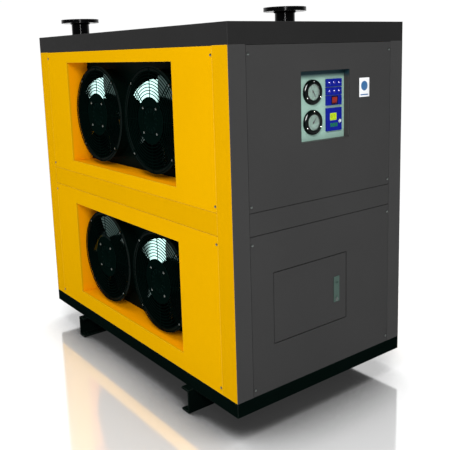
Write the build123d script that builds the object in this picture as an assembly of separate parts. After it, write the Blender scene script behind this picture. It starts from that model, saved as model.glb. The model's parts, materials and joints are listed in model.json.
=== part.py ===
from build123d import *
import math
import os

# Refrigerated air dryer. Millimetres, +Z up, origin on the floor under the middle of the cabinet.
# -X is the fan side, -Y the control side, +X the air-intake side, +Y the rear.

# Cabinet
CABINET_WIDTH = 905.0
CABINET_LENGTH = 1600.0
SHEET = 2.0
FOLD = 15.0
SEAM = 1.5
BASE_BOTTOM = 100.0
BASE_TOP = 157.0
COVER_BOTTOM = 1443.0
COVER_TOP = 1520.0
STRIP_BOTTOM = 769.0
STRIP_TOP = 855.0
SIDE_PILLAR = 90.0
END_PILLAR = 74.0
LIP = 22.0
LIP_DEPTH = 15.5
HALF_WIDTH = CABINET_WIDTH / 2
HALF_LENGTH = CABINET_LENGTH / 2
COVER_GAP = 1.5

# Base frame and skids
RAIL_WALL = 5.0
RAIL_FLANGE = 50.0
DECK = 3.0
CROSS_MEMBERS = (-400.0, 0.0, 400.0)
SKID_LENGTH = 954.0
SKID_SPREAD = 1000.0
SKID_CENTRE_Y = -10.0
SKID_FLANGE = 48.0
SKID_WEB = 5.5
SKID_FLANGE_THICK = 8.0
ANCHOR_X = 457.0
ANCHOR_INSET = 27.0
ANCHOR_RADIUS = 7.0

# Inner frame
POST = 40.0
POST_WALL = 3.0
FRAME_RAIL_HEIGHT = 40.0
FRAME_RAIL_DEPTH = (18.0, 22.0)
FRAME_RAIL_LEVELS = (792.0, COVER_TOP - SHEET - FRAME_RAIL_HEIGHT)

# Screws
SCREW_HEAD = 5.0
SCREW_HEAD_HEIGHT = 2.5
SCREW_SHANK = 2.5
SCREW_LENGTH = 19.0
SCREW_HOLE = 2.7
SIDE_SCREW_U = 702.0
END_SCREW_U = 367.0
SCREW_LEVELS = (1411.0, 878.0, 738.0, 183.0)

# Fan recesses and fans
OPENING_Y = (-450.0, 485.0)
UPPER_OPENING_Z = (912.0, 1391.0)
LOWER_OPENING_Z = (231.0, 695.0)
RECESS_DEPTH = 108.0
PLATE_MARGIN = 12.0
FAN_Y = {"front": -220.5, "rear": 255.5}
FAN_Z = {"upper": 1151.0, "lower": 463.0}
SHROUD_RADIUS = 204.0
SHROUD_WALL = 2.5
SHROUD_FRONT = 41.5
SHROUD_FLANGE = (222.0, 2.5)
GUARD_FRONT = 33.0
WIRE = 3.0
GUARD_RADIUS = 216.0
GUARD_RINGS = 9
GUARD_HUB = (58.0, 98.0)
LEG_OFFSET = 8.0
FOOT_THICK = 2.0
FOOT_WIDTH = 22.0
FOOT_SPAN = (205.0, 221.0)
FOOT_SCREW_RADIUS = 210.5
HUB_SCREW_RADIUS = 72.0
MOTOR_FLANGE = (84.0, 8.0)
STATOR_RADIUS = 58.0
STATOR_END = 112.0
SHAFT_RADIUS = 6.0
SHAFT_PROUD = 2.0
SHAFT_END_GAP = 2.0
RUNNING_CLEARANCE = 0.05
ROTOR_DEPTH = (62.0, 122.0)
ROTOR_RADIUS = 70.0
ROTOR_WALL = 8.0
ROTOR_BACK = 5.0
BLADES = 5
BLADE_START = {"upper_front": 120.0, "upper_rear": 120.0, "lower_front": 120.0, "lower_rear": 156.0}
BLADE_ROOT = 64.0
BLADE_ROOT_HALF = 24.0
BLADE_LOW_SIDE = (116.0, -30.0)
BLADE_LOW_CORNER = (162.0, -24.0)
BLADE_CROWN = (190.0, 10.0)
BLADE_HIGH_CORNER = (194.0, 30.0)
BLADE_HIGH_SIDE = (125.0, 32.0)
BLADE_THICK = 2.0
BLADE_PITCH = 22.0
BLADE_DEPTH = 88.0

# Instruments
WINDOW_X = (-121.5, 135.0)
WINDOW_Z = (1078.5, 1341.0)
TRAY_DEPTH = 29.0
GAUGE_X = -39.0
GAUGE_Z = {"upper": 1261.5, "lower": 1148.0}
BEZEL_RADIUS = 47.5
BEZEL_DEPTH = 15.0
BARREL_RADIUS = 33.0
CASE_BORE = 30.0
DIAL_RADIUS = 29.9
BARREL_END = 65.0
CASE_BACK = 3.0
GAUGE_STEM = (8.0, 20.0)
DIAL_DEPTH = (22.0, 23.2)
GLASS_DEPTH = (16.5, 18.5)
NEEDLE_HUB = (3.5, (19.2, 21.2))
NEEDLE_PLATE = (1.6, (19.6, 20.6))
NEEDLE_REACH = (-8.0, 23.0)
NEEDLE_SPINDLE = (1.2, (21.0, 30.0))
NEEDLE_TURN = {"upper": 150.0, "lower": 38.0}
MODULE_X = (33.0, 115.0)
MODULE_DEPTH = 21.0
LAMP_ROWS = ((1277.0, 1307.0), (1245.0, 1274.0))
LAMP_X = (48.0, 74.0, 100.0)
LAMP_RADIUS = 5.0
LENS_PROUD = 2.0
LENS_ROUND = 1.6
SWITCH_Z = (1206.0, 1243.0)
ROCKER_X = (62.0, 88.0)
ROCKER_RADIUS = 12.0
ROCKER_TILT = 10.0
ROCKER_FACE = 3.4
ROCKER_PIN = 2.0
ROCKER_PIVOT_DEPTH = MODULE_DEPTH + 2.0
ROCKER_POCKET_DEPTH = 36.0
SOCKET_WALL = 3.0
CONTROLLER_Z = (1107.0, 1196.0)
DISPLAY_X = (50.0, 86.0)
DISPLAY_Z = (1148.0, 1176.0)
KEY_X = {"left": 57.0, "middle": 71.0, "right": 85.0}
KEY_Z = 1130.0
KEY_SIZE = (11.0, 14.0)
KEY_PROUD = 1.0
KEY_BACK = 3.0
KEY_POCKET_BACK = 1.5
DISPLAY_POCKET = 2.0
DISPLAY_SETBACK = 0.5
BUTTON_X = 104.0
BUTTON_Z = 1143.0
BUTTON_RADIUS = 6.0
BUTTON_PROUD = 3.0
BUTTON_BACK = 4.0
BUTTON_ROUND = 1.2
CONTROL_CLEARANCE = 0.4

# Access door
DOOR_OPENING_X = (-271.5, 119.5)
DOOR_OPENING_Z = (337.0, 616.0)
DOOR_GAP = 2.5
DOOR_FOLD = 14.0
HINGE_X = -264.0
HINGE_DEPTH = 6.0
HINGE_PIN = 2.5
HINGE_REACH = (14.0, 10.0)
HINGE_GAP = 0.5
HINGE_TAB = 3.0
HINGE_LEG = 14.0
HINGE_PIN_END = 12.0
DOOR_ROUND = 3.0
LATCH_HOLE_MARGIN = 2.0
LATCH_X = 61.0
LATCH_Z = 472.0
LATCH_SIZE = (30.0, 105.0)
LATCH_PROUD = 3.0
LATCH_BODY_MARGIN = 2.2
LATCH_BODY_DEPTH = 20.0
HANDLE_WIDTH = 17.0
HANDLE_SPAN = (-31.0, 30.0)
HANDLE_PIVOT = (26.0, 3.0)
HANDLE_DEPTH = (-2.5, 5.5)
HANDLE_POCKET_DEPTH = 8.5
HANDLE_BARREL = 4.0
HANDLE_PIN = 2.0
LOCK_Z = -42.0
LOCK_RADIUS = 8.0
LOCK_PROUD = 4.0
KEYWAY = (2.0, 8.0)
CAM_DEPTH = (24.0, 27.0)
CAM_SIZE = (14.0, 60.0)

# Compressed air
PIPE_RADIUS = 44.45
PIPE_WALL = 4.0
FLANGE_RADIUS = 95.25
FLANGE_THICK = 18.0
FLANGE_TOP = 1606.0
FLANGE_SETBACK = 5.0
FLANGE_PCD = 152.4
FLANGE_HOLES = 4
FLANGE_HOLE_RADIUS = 9.5
FLANGE_CLEARANCE = 0.5
INLET_XY = (-265.0, 700.0)
OUTLET_XY = (238.0, -324.0)
INLET_RUN_Z = 1150.0
ELBOW_RADIUS = 114.0
COVER_HOLE = 46.5
EXCHANGER_X = (70.0, 390.0)
EXCHANGER_Y = (-440.0, 40.0)
EXCHANGER_Z = (420.0, 1290.0)
EXCHANGER_WALL = 12.0
EXCHANGER_ROUND = 18.0
EXCHANGER_LEG = 40.0
SEPARATOR_XY = (230.0, 250.0)
SEPARATOR_RADIUS = 84.0
SEPARATOR_Z = (300.0, 1060.0)
SEPARATOR_WALL = 5.0
SEPARATOR_ROUND = 30.0
SEPARATOR_LEG = 9.0
LEG_SETBACK = 14.0
LEG_OVERLAP = 26.0
STUB_RADIUS = 35.0
STUB_WALL = 3.0
STUB_LEVELS = (520.0, 980.0)
VALVE_NECK = (12.0, 7.0)
VALVE_HALF = (22.0, 26.0)
VALVE_BODY_Z = (218.0, 265.0)
VALVE_COIL = (19.0, 30.0)
DRAIN_X = 338.0
DRAIN_Z = 240.0
DRAIN_RADIUS = 10.65
DRAIN_BORE = 8.0
DRAIN_BEND = 40.0
FITTING_RADIUS = 17.0
FITTING_BORE = 9.3
FITTING_DEPTH = 30.0
SOCKET_DEPTH = 24.0
COLLAR_RADIUS = 24.0
COLLAR_PROUD = 4.0
HOLE_CLEARANCE = 0.3

# Refrigerant circuit
CONDENSER_DEPTH = (152.0, 188.0)
CONDENSER_Y = (-575.0, 575.0)
CONDENSER_Z = {"upper": (880.0, 1390.0), "lower": (200.0, 745.0)}
CONDENSER_RIM = 12.0
HEADER_Y = 590.0
HEADER_INSET = 30.0
GAS_HEADER = (-294.0, 9.0)
LIQUID_HEADER = (-268.0, 7.0)
COMPRESSOR_XY = (215.0, 590.0)
COMPRESSOR_RADIUS = 93.0
COMPRESSOR_Z = (193.0, 600.0)
COMPRESSOR_WALL = 9.0
COMPRESSOR_ROUND = 34.0
TERMINAL_HALF = 30.0
TERMINAL_DEPTH = 34.0
TERMINAL_Z = (430.0, 520.0)
MOUNT_RADIUS = 18.0
MOUNT_HEIGHT = 30.0
MOUNT_SPREAD = 76.0
MOUNT_STUD = 5.5
MOUNT_HOLE = 6.0
FOOTPLATE = 200.0
FOOTPLATE_THICK = 8.0
RECEIVER_XY = (20.0, 590.0)
RECEIVER_RADIUS = 60.0
RECEIVER_Z = (157.0, 560.0)
RECEIVER_WALL = 4.0
RECEIVER_ROUND = 22.0
RECEIVER_FOOT = (45.0, 40.0)
RECEIVER_LIFT = 12.0
LIQUID_RADIUS = 6.0
GAS_RADIUS = 9.5
SUCTION_RADIUS = 14.0
DRIER_Y = (300.0, 430.0)
DRIER_RADIUS = 25.0
VALVE_Y = (-25.0, 25.0)
VALVE_SECTION = 16.0
VALVE_HEAD = (22.0, 18.0)
DISCHARGE_Z = 820.0
CONDENSATE_Z = 300.0
LIQUID_Z = 700.0
INJECTION_Y = -100.0
SUCTION_Y = -200.0
SUCTION_X = -30.0
SUCTION_Z = 950.0
PORT_SPREAD = 40.0
DISCHARGE_SETBACK = 25.0
SUCTION_SETBACK = 50.0
HEADER_BITE = 2.0
LIQUID_BEND = 20.0
DISCHARGE_BEND = 15.0
SUCTION_BEND = 45.0

# Electrical
BOX_X = (-290.0, 140.0)
BOX_Z = (312.0, 642.0)
BOX_DEPTH = 190.0
RAIL_INSET = 30.0
RAIL_THICK = 8.0
RAIL_HALF = 17.0
RAIL_LEVELS = (545.0, 430.0)
DEVICE_Z = (505.0, 585.0)
CONTACTORS = (3, -225.0, 62.0)
CONTACTOR_HALF = 22.0
CONTACTOR_DEPTH = 90.0
BREAKERS = (6, -15.0, 18.5)
BREAKER_HALF = 9.0
BREAKER_DEPTH = 70.0
TOGGLE = (8.0, 12.0)
TERMINALS = (12, -200.0, 12.5)
TERMINAL_BLOCK_HALF = 6.0
TERMINAL_BLOCK_DEPTH = 45.0
TERMINAL_BLOCK_Z = (405.0, 455.0)
SUPPLY_X = (15.0, 95.0)
SUPPLY_DEPTH = 60.0
SUPPLY_Z = (395.0, 465.0)
GROMMET_X = -300.0
GROMMET_NECK = 18.0
GROMMET_LIP = (23.0, 8.0)
GROMMET_BORE = 13.0

# Air slots
SLOTS_Y = (-430.0, 0.0, 430.0)
SLOT = (360.0, 9.0)
SLOT_PITCH = 27.0
SLOT_MARGIN = 70.0

OUTWARD = {"fan": (-1, 0, 0), "control": (0, -1, 0), "intake": (1, 0, 0), "rear": (0, 1, 0)}
LONG_SIDES = ("fan", "intake")
END_SIDES = ("control", "rear")

parts = {}


def keep(name, *solids):
    """Files the pieces of one node under its name."""
    pieces = []
    for solid in solids:
        pieces += list(solid.solids())
    parts[name] = pieces


# Geometry helpers

def block(x, y, z):
    """Box between (low, high) pairs."""
    low = Vector(x[0], y[0], z[0])
    high = Vector(x[1], y[1], z[1])
    size = high - low
    middle = (low + high) / 2
    return Pos(middle.X, middle.Y, middle.Z) * Box(size.X, size.Y, size.Z)


def rod(x, y, z, radius):
    """Upright cylinder over a (low, high) span of z."""
    return Pos(x, y, (z[0] + z[1]) / 2) * Cylinder(radius, z[1] - z[0])


def side_block(side, u, depth, z):
    """Box on a cabinet side: u runs along it and depth runs inward from its outer face."""
    half = HALF_WIDTH if side in LONG_SIDES else HALF_LENGTH
    if side in ("fan", "control"):
        across = (depth[0] - half, depth[1] - half)
    else:
        across = (half - depth[1], half - depth[0])
    if side in LONG_SIDES:
        return block(across, u, z)
    return block(u, across, z)


def on_side(side, u, z, depth=0.0):
    """Location on a side: local z points outward and local y points up."""
    nx, ny, _ = OUTWARD[side]
    if side in LONG_SIDES:
        origin = (nx * (HALF_WIDTH - depth), u, z)
    else:
        origin = (u, ny * (HALF_LENGTH - depth), z)
    return Plane(origin=origin, x_dir=(-ny, nx, 0), z_dir=OUTWARD[side]).location


def side_disc(side, u, z, depth, radius):
    """Cylinder square to a side, over a (near, far) span of depth."""
    return on_side(side, u, z, (depth[0] + depth[1]) / 2) * Cylinder(radius, depth[1] - depth[0])


def pan(side, u, z, fold=FOLD):
    """Sheet panel whose four edges are folded inward."""
    inner_u = (u[0] + SHEET, u[1] - SHEET)
    inner_z = (z[0] + SHEET, z[1] - SHEET)
    return side_block(side, u, (0, fold), z) - side_block(side, inner_u, (SHEET, fold + 1), inner_z)


def route(points, radius, outer, inner=0.0):
    """Tube along straight runs with tangent arcs."""
    path = FilletPolyline(*points, radius=radius) if len(points) > 2 else Line(*points)
    section = Circle(outer)
    if inner > 0:
        section = section - Circle(inner)
    return sweep(Plane(origin=path @ 0, z_dir=path % 0) * section, path)


def polar(radius, degrees):
    return (radius * math.cos(math.radians(degrees)), radius * math.sin(math.radians(degrees)))


# Base

def base_frame():
    outer = block((-HALF_WIDTH, HALF_WIDTH), (-HALF_LENGTH, HALF_LENGTH), (BASE_BOTTOM, BASE_TOP))
    web_x = HALF_WIDTH - RAIL_WALL
    web_y = HALF_LENGTH - RAIL_WALL
    hole_x = HALF_WIDTH - RAIL_FLANGE
    hole_y = HALF_LENGTH - RAIL_FLANGE
    channel_z = (BASE_BOTTOM + RAIL_WALL, BASE_TOP - RAIL_WALL)
    frame = outer - block((-web_x, web_x), (-web_y, web_y), channel_z)
    frame -= block((-hole_x, hole_x), (-hole_y, hole_y), (BASE_BOTTOM - 1, BASE_TOP + 1))
    frame += block((-hole_x, hole_x), (-hole_y, hole_y), (BASE_TOP - DECK, BASE_TOP))
    for y in CROSS_MEMBERS:
        span = (y - RAIL_FLANGE / 2, y + RAIL_FLANGE / 2)
        frame += block((-web_x, web_x), span, (BASE_BOTTOM + RAIL_WALL, BASE_TOP - DECK))
    return frame


def skid(y_web, facing):
    """Channel lying on its flanges; facing is the way that they point from the web."""
    tip = y_web + facing * SKID_FLANGE
    web_back = y_web + facing * SKID_WEB
    length = (-SKID_LENGTH / 2, SKID_LENGTH / 2)
    whole = block(length, sorted((y_web, tip)), (0, BASE_BOTTOM))
    between_flanges = (SKID_FLANGE_THICK, BASE_BOTTOM - SKID_FLANGE_THICK)
    hollow = block(length, sorted((web_back, tip + facing)), between_flanges)
    piece = whole - hollow
    for x in (-ANCHOR_X, ANCHOR_X):
        piece -= rod(x, y_web + facing * ANCHOR_INSET, (-1, SKID_FLANGE_THICK + 1), ANCHOR_RADIUS)
    return piece


keep("base_frame", base_frame())
keep("front_skid", skid(SKID_CENTRE_Y - SKID_SPREAD / 2, 1))
keep("rear_skid", skid(SKID_CENTRE_Y + SKID_SPREAD / 2, -1))


# Inner frame and skins

def cabinet_frame():
    frame = None
    post_x = HALF_WIDTH - SHEET - POST / 2
    post_y = HALF_LENGTH - SHEET - POST / 2
    height = COVER_TOP - SHEET - BASE_TOP
    for x in (-post_x, post_x):
        for y in (-post_y, post_y):
            tube = Box(POST, POST, height) - Box(POST - 2 * POST_WALL, POST - 2 * POST_WALL, height + 1)
            post = Pos(x, y, BASE_TOP + height / 2) * tube
            frame = post if frame is None else frame + post
    for side in OUTWARD:
        reach = (post_y if side in LONG_SIDES else post_x) - POST / 2
        for level in FRAME_RAIL_LEVELS:
            span = (level, level + FRAME_RAIL_HEIGHT)
            frame += side_block(side, (-reach, reach), FRAME_RAIL_DEPTH, span)
    return frame


def pillar(side, end):
    """Corner pillar: face, inward return at the seam and a lip that the panels screw to."""
    corner = HALF_LENGTH - SHEET if side in LONG_SIDES else HALF_WIDTH
    width = SIDE_PILLAR if side in LONG_SIDES else END_PILLAR
    seam = (HALF_LENGTH if side in LONG_SIDES else HALF_WIDTH) - width
    z = (BASE_TOP, COVER_BOTTOM)

    def span(low, high):
        return sorted((end * low, end * high))

    piece = side_block(side, span(seam, corner), (0, SHEET), z)
    piece += side_block(side, span(seam, seam + SHEET), (0, LIP_DEPTH + SHEET), z)
    piece += side_block(side, span(seam - LIP, seam + SHEET), (LIP_DEPTH, LIP_DEPTH + SHEET), z)
    for u, level in screw_places(side):
        if u * end > 0:
            piece -= side_disc(side, u, level, (LIP_DEPTH - 1, LIP_DEPTH + SHEET + 1), SCREW_HOLE)
    return piece


def screw_places(side):
    u = SIDE_SCREW_U if side in LONG_SIDES else END_SCREW_U
    return [(sign * u, level) for sign in (-1, 1) for level in SCREW_LEVELS]


def panel_span(side):
    if side in LONG_SIDES:
        reach = HALF_LENGTH - SIDE_PILLAR - SEAM
    else:
        reach = HALF_WIDTH - END_PILLAR - SEAM
    return (-reach, reach)


UPPER_PANEL_Z = (STRIP_TOP + SEAM / 2, COVER_BOTTOM - COVER_GAP)
LOWER_PANEL_Z = (BASE_TOP, STRIP_BOTTOM - SEAM / 2)
STRIP_Z = (STRIP_BOTTOM + SEAM / 2, STRIP_TOP - SEAM / 2)


def panel(side, z):
    """Plain panel with its four corner screw holes."""
    piece = pan(side, panel_span(side), z)
    for u, level in screw_places(side):
        if z[0] < level < z[1]:
            piece -= side_disc(side, u, level, (-1, SHEET + 1), SCREW_HOLE)
    return piece


def recessed_panel(z, opening_z):
    """Fan-side panel with its deep folded recess."""
    walls_y = (OPENING_Y[0] - SHEET, OPENING_Y[1] + SHEET)
    walls_z = (opening_z[0] - SHEET, opening_z[1] + SHEET)
    piece = panel("fan", z) + side_block("fan", walls_y, (0, RECESS_DEPTH), walls_z)
    return piece - side_block("fan", OPENING_Y, (-1, RECESS_DEPTH + 1), opening_z)


def louvred_panel(z):
    """Intake panel with three columns of air slots."""
    length, height = SLOT
    rows = int((z[1] - z[0] - 2 * SLOT_MARGIN) / SLOT_PITCH) + 1
    first = (z[0] + z[1]) / 2 - SLOT_PITCH * (rows - 1) / 2
    piece = panel("intake", z)
    cuts = []
    for row in range(rows):
        level = first + row * SLOT_PITCH
        for y in SLOTS_Y:
            span_y = (y - length / 2, y + length / 2)
            span_z = (level - height / 2, level + height / 2)
            cuts.append(side_block("intake", span_y, (-1, SHEET + 1), span_z))
    return piece - cuts


def top_cover():
    outer = block((-HALF_WIDTH, HALF_WIDTH), (-HALF_LENGTH, HALF_LENGTH), (COVER_BOTTOM, COVER_TOP))
    inner_x = HALF_WIDTH - SHEET
    inner_y = HALF_LENGTH - SHEET
    cover = outer - block((-inner_x, inner_x), (-inner_y, inner_y), (COVER_BOTTOM - 1, COVER_TOP - SHEET))
    for x, y in (INLET_XY, OUTLET_XY):
        cover -= rod(x, y, (COVER_TOP - SHEET - 1, COVER_TOP + 1), COVER_HOLE)
    return cover


keep("cabinet_frame", cabinet_frame())
keep("top_cover", top_cover())
keep("side_pillars", *[pillar(side, end) for side in LONG_SIDES for end in (-1, 1)])
keep("end_pillars", *[pillar(side, end) for side in END_SIDES for end in (-1, 1)])
keep("side_mid_strips", *[pan(side, panel_span(side), STRIP_Z) for side in LONG_SIDES])
keep("end_mid_strips", *[pan(side, panel_span(side), STRIP_Z) for side in END_SIDES])
keep("fan_side_upper_panel", recessed_panel(UPPER_PANEL_Z, UPPER_OPENING_Z))
keep("fan_side_lower_panel", recessed_panel(LOWER_PANEL_Z, LOWER_OPENING_Z))
keep("intake_panels", louvred_panel(UPPER_PANEL_Z), louvred_panel(LOWER_PANEL_Z))

window = side_block("control", WINDOW_X, (-1, SHEET + 1), WINDOW_Z)
keep("control_upper_panel", panel("control", UPPER_PANEL_Z) - window)
door_opening = side_block("control", DOOR_OPENING_X, (-1, SHEET + 1), DOOR_OPENING_Z)
keep("control_lower_panel", panel("control", LOWER_PANEL_Z) - door_opening)

grommet_hole = side_disc("rear", GROMMET_X, DRAIN_Z, (-1, SHEET + 1), GROMMET_NECK + HOLE_CLEARANCE)
drain_hole = side_disc("rear", DRAIN_X, DRAIN_Z, (-1, SHEET + 1), FITTING_RADIUS + HOLE_CLEARANCE)
lower_rear = panel("rear", LOWER_PANEL_Z) - grommet_hole - drain_hole
keep("rear_panels", panel("rear", UPPER_PANEL_Z), lower_rear)


# Fans

FANS = [(row, end) for row in FAN_Z for end in FAN_Y]
FOOT_ANGLES = (45, 135, 225, 315)
PLAIN_LEG_ANGLES = (0, 90, 180, 270)


def screw():
    """Pan-head screw with its seat at the origin and its head towards local +z."""
    head = Pos(0, 0, SCREW_HEAD_HEIGHT / 2) * Cone(SCREW_HEAD, SCREW_HEAD * 0.7, SCREW_HEAD_HEIGHT)
    return head + Pos(0, 0, -SCREW_LENGTH / 2) * Cylinder(SCREW_SHANK, SCREW_LENGTH)


def fan_plate(row, opening_z):
    """Back plate of a recess with the shroud of each fan, which ends in a flange in front."""
    plate_y = (OPENING_Y[0] - PLATE_MARGIN, OPENING_Y[1] + PLATE_MARGIN)
    plate_z = (opening_z[0] - PLATE_MARGIN, opening_z[1] + PLATE_MARGIN)
    plate = side_block("fan", plate_y, (RECESS_DEPTH, RECESS_DEPTH + SHEET), plate_z)
    flange_radius, flange_thick = SHROUD_FLANGE
    flange = (SHROUD_FRONT, SHROUD_FRONT + flange_thick)
    through = (SHROUD_FRONT - 1, RECESS_DEPTH + SHEET + 1)
    for y in FAN_Y.values():
        plate += side_disc("fan", y, FAN_Z[row], (SHROUD_FRONT, RECESS_DEPTH), SHROUD_RADIUS + SHROUD_WALL)
        plate += side_disc("fan", y, FAN_Z[row], flange, flange_radius)
        plate -= side_disc("fan", y, FAN_Z[row], through, SHROUD_RADIUS)
        for angle in FOOT_ANGLES:
            du, dz = polar(FOOT_SCREW_RADIUS, angle)
            hole = (flange[0] - 1, flange[1] + 1)
            plate -= side_disc("fan", y + du, FAN_Z[row] + dz, hole, SCREW_HOLE)
    return plate


def fan_guard():
    """Wire guard about local z, its front at z = 0 and its feet on the shroud's flange below."""
    depth = SHROUD_FRONT - GUARD_FRONT
    mesh = Circle(GUARD_HUB[1]) - Circle(GUARD_HUB[0])
    pitch = (GUARD_RADIUS - GUARD_HUB[1]) / GUARD_RINGS
    for ring in range(GUARD_RINGS):
        radius = GUARD_HUB[1] + (ring + 1) * pitch
        mesh += Circle(radius + WIRE / 2) - Circle(radius - WIRE / 2)
    length = GUARD_RADIUS - GUARD_HUB[1] + WIRE
    middle = (GUARD_RADIUS + GUARD_HUB[1]) / 2
    for angle in PLAIN_LEG_ANGLES:
        mesh += Rot(0, 0, angle) * Pos(middle, 0) * Rectangle(length, WIRE)
    for angle in FOOT_ANGLES:
        for offset in (-LEG_OFFSET, LEG_OFFSET):
            mesh += Rot(0, 0, angle) * Pos(middle - 1, offset) * Rectangle(length, WIRE)
    guard = extrude(mesh, -WIRE)
    for angle in FOOT_ANGLES:
        hole = Rot(0, 0, angle) * Pos(HUB_SCREW_RADIUS, 0, -WIRE / 2)
        guard -= hole * Cylinder(SCREW_HOLE, 2 * WIRE)
    leg = Box(WIRE, WIRE, depth)
    for angle in PLAIN_LEG_ANGLES:
        guard += Rot(0, 0, angle) * Pos(GUARD_RADIUS, 0, -depth / 2) * leg
    for angle in FOOT_ANGLES:
        for offset in (-LEG_OFFSET, LEG_OFFSET):
            guard += Rot(0, 0, angle) * Pos(GUARD_RADIUS - 1, offset, -depth / 2) * leg
        foot_middle = (FOOT_SPAN[0] + FOOT_SPAN[1]) / 2
        foot_length = FOOT_SPAN[1] - FOOT_SPAN[0]
        foot = Pos(foot_middle, 0, FOOT_THICK / 2 - depth) * Box(foot_length, FOOT_WIDTH, FOOT_THICK)
        foot -= Pos(FOOT_SCREW_RADIUS, 0, -depth) * Cylinder(SCREW_HOLE, 4 * FOOT_THICK)
        guard += Rot(0, 0, angle) * foot
    return guard


def fan_motor():
    """Stator of the external-rotor motor: flange behind the guard, core and bearing bore."""
    radius, thick = MOTOR_FLANGE
    core_start = WIRE + thick
    core_length = STATOR_END - GUARD_FRONT - core_start
    motor = Pos(0, 0, -WIRE - thick / 2) * Cylinder(radius, thick)
    motor += Pos(0, 0, -core_start - core_length / 2) * Cylinder(STATOR_RADIUS, core_length)
    bore_end = STATOR_END - GUARD_FRONT + 1
    bore_start = ROTOR_DEPTH[0] - GUARD_FRONT - SHAFT_PROUD - SHAFT_END_GAP
    bore = Cylinder(SHAFT_RADIUS + RUNNING_CLEARANCE, bore_end - bore_start)
    motor -= Pos(0, 0, -(bore_start + bore_end) / 2) * bore
    for angle in FOOT_ANGLES:
        hole = Rot(0, 0, angle) * Pos(HUB_SCREW_RADIUS, 0, -WIRE - thick / 2)
        motor -= hole * Cylinder(SCREW_HOLE, thick + 1)
    return motor


def impeller(start):
    """Rotor cup with its shaft and its pitched blades, about local z; start is the first blade's angle."""
    front = ROTOR_DEPTH[0] - GUARD_FRONT
    back = ROTOR_DEPTH[1] - GUARD_FRONT
    inner = back - ROTOR_BACK
    cup = Pos(0, 0, -(front + back) / 2) * Cylinder(ROTOR_RADIUS, back - front)
    cup -= Pos(0, 0, -(front + inner - 1) / 2 - 0.5) * Cylinder(ROTOR_RADIUS - ROTOR_WALL, inner - front)
    shaft_front = front - SHAFT_PROUD
    cup += Pos(0, 0, -(shaft_front + inner) / 2) * Cylinder(SHAFT_RADIUS, inner - shaft_front)
    root_low = polar(BLADE_ROOT, -BLADE_ROOT_HALF)
    root_high = polar(BLADE_ROOT, BLADE_ROOT_HALF)
    tip_low = polar(*BLADE_LOW_CORNER)
    tip_high = polar(*BLADE_HIGH_CORNER)
    outline = [
        ThreePointArc(root_low, polar(BLADE_ROOT, 0), root_high),
        ThreePointArc(root_high, polar(*BLADE_HIGH_SIDE), tip_high),
        ThreePointArc(tip_high, polar(*BLADE_CROWN), tip_low),
        ThreePointArc(tip_low, polar(*BLADE_LOW_SIDE), root_low),
    ]
    blade = extrude(make_face(outline), BLADE_THICK / 2, both=True)
    level = GUARD_FRONT - BLADE_DEPTH
    for number in range(BLADES):
        turn = Rot(0, 0, start + number * 360 / BLADES)
        cup += turn * Pos(0, 0, level) * Rot(BLADE_PITCH, 0, 0) * blade
    return cup


def fan_places():
    """Location of each fan's guard front."""
    return {(row, end): on_side("fan", FAN_Y[end], FAN_Z[row], GUARD_FRONT) for row, end in FANS}


guard = fan_guard()
motor = fan_motor()
places = fan_places()
keep("fan_plates", fan_plate("upper", UPPER_OPENING_Z), fan_plate("lower", LOWER_OPENING_Z))
keep("fan_guards", *[places[fan] * guard for fan in FANS])
keep("fan_motors", *[places[fan] * motor for fan in FANS])
for row, end in FANS:
    keep(f"{row}_{end}_impeller", places[(row, end)] * impeller(BLADE_START[f"{row}_{end}"]))

screws = []
for side in OUTWARD:
    for u, level in screw_places(side):
        screws.append(on_side(side, u, level) * screw())
for fan in FANS:
    for angle in FOOT_ANGLES:
        foot_x, foot_y = polar(FOOT_SCREW_RADIUS, angle)
        seat = GUARD_FRONT - SHROUD_FRONT + FOOT_THICK
        screws.append(places[fan] * Pos(foot_x, foot_y, seat) * screw())
        hub_x, hub_y = polar(HUB_SCREW_RADIUS, angle)
        screws.append(places[fan] * Pos(hub_x, hub_y, 0) * screw())
keep("pan_head_screws", *screws)


# Instruments in the window of the control side

def control_block(x, depth, z):
    return side_block("control", x, depth, z)


def control_disc(x, z, depth, radius):
    return side_disc("control", x, z, depth, radius)


def instrument_tray():
    outer_x = (WINDOW_X[0] - SHEET, WINDOW_X[1] + SHEET)
    outer_z = (WINDOW_Z[0] - SHEET, WINDOW_Z[1] + SHEET)
    tray = control_block(outer_x, (SHEET, TRAY_DEPTH + SHEET), outer_z)
    tray -= control_block(WINDOW_X, (SHEET - 1, TRAY_DEPTH), WINDOW_Z)
    through = (TRAY_DEPTH - 1, TRAY_DEPTH + SHEET + 1)
    for z in GAUGE_Z.values():
        tray -= control_disc(GAUGE_X, z, through, BARREL_RADIUS + HOLE_CLEARANCE)
    return tray


def gauge_case(z):
    case = control_disc(GAUGE_X, z, (BEZEL_DEPTH, TRAY_DEPTH), BEZEL_RADIUS)
    case += control_disc(GAUGE_X, z, (TRAY_DEPTH, BARREL_END), BARREL_RADIUS)
    case -= control_disc(GAUGE_X, z, (BEZEL_DEPTH - 1, BARREL_END - CASE_BACK), CASE_BORE)
    stem_radius, stem_length = GAUGE_STEM
    return case + control_disc(GAUGE_X, z, (BARREL_END, BARREL_END + stem_length), stem_radius)


def gauge_needle(z):
    """Pointer with its tail, hub and spindle; it points straight up before it is turned."""
    width, plate = NEEDLE_PLATE
    hub = control_disc(GAUGE_X, z, NEEDLE_HUB[1], NEEDLE_HUB[0])
    span_x = (GAUGE_X - width / 2, GAUGE_X + width / 2)
    pointer = control_block(span_x, plate, (z + NEEDLE_REACH[0], z + NEEDLE_REACH[1]))
    return hub + pointer + control_disc(GAUGE_X, z, NEEDLE_SPINDLE[1], NEEDLE_SPINDLE[0])


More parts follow.
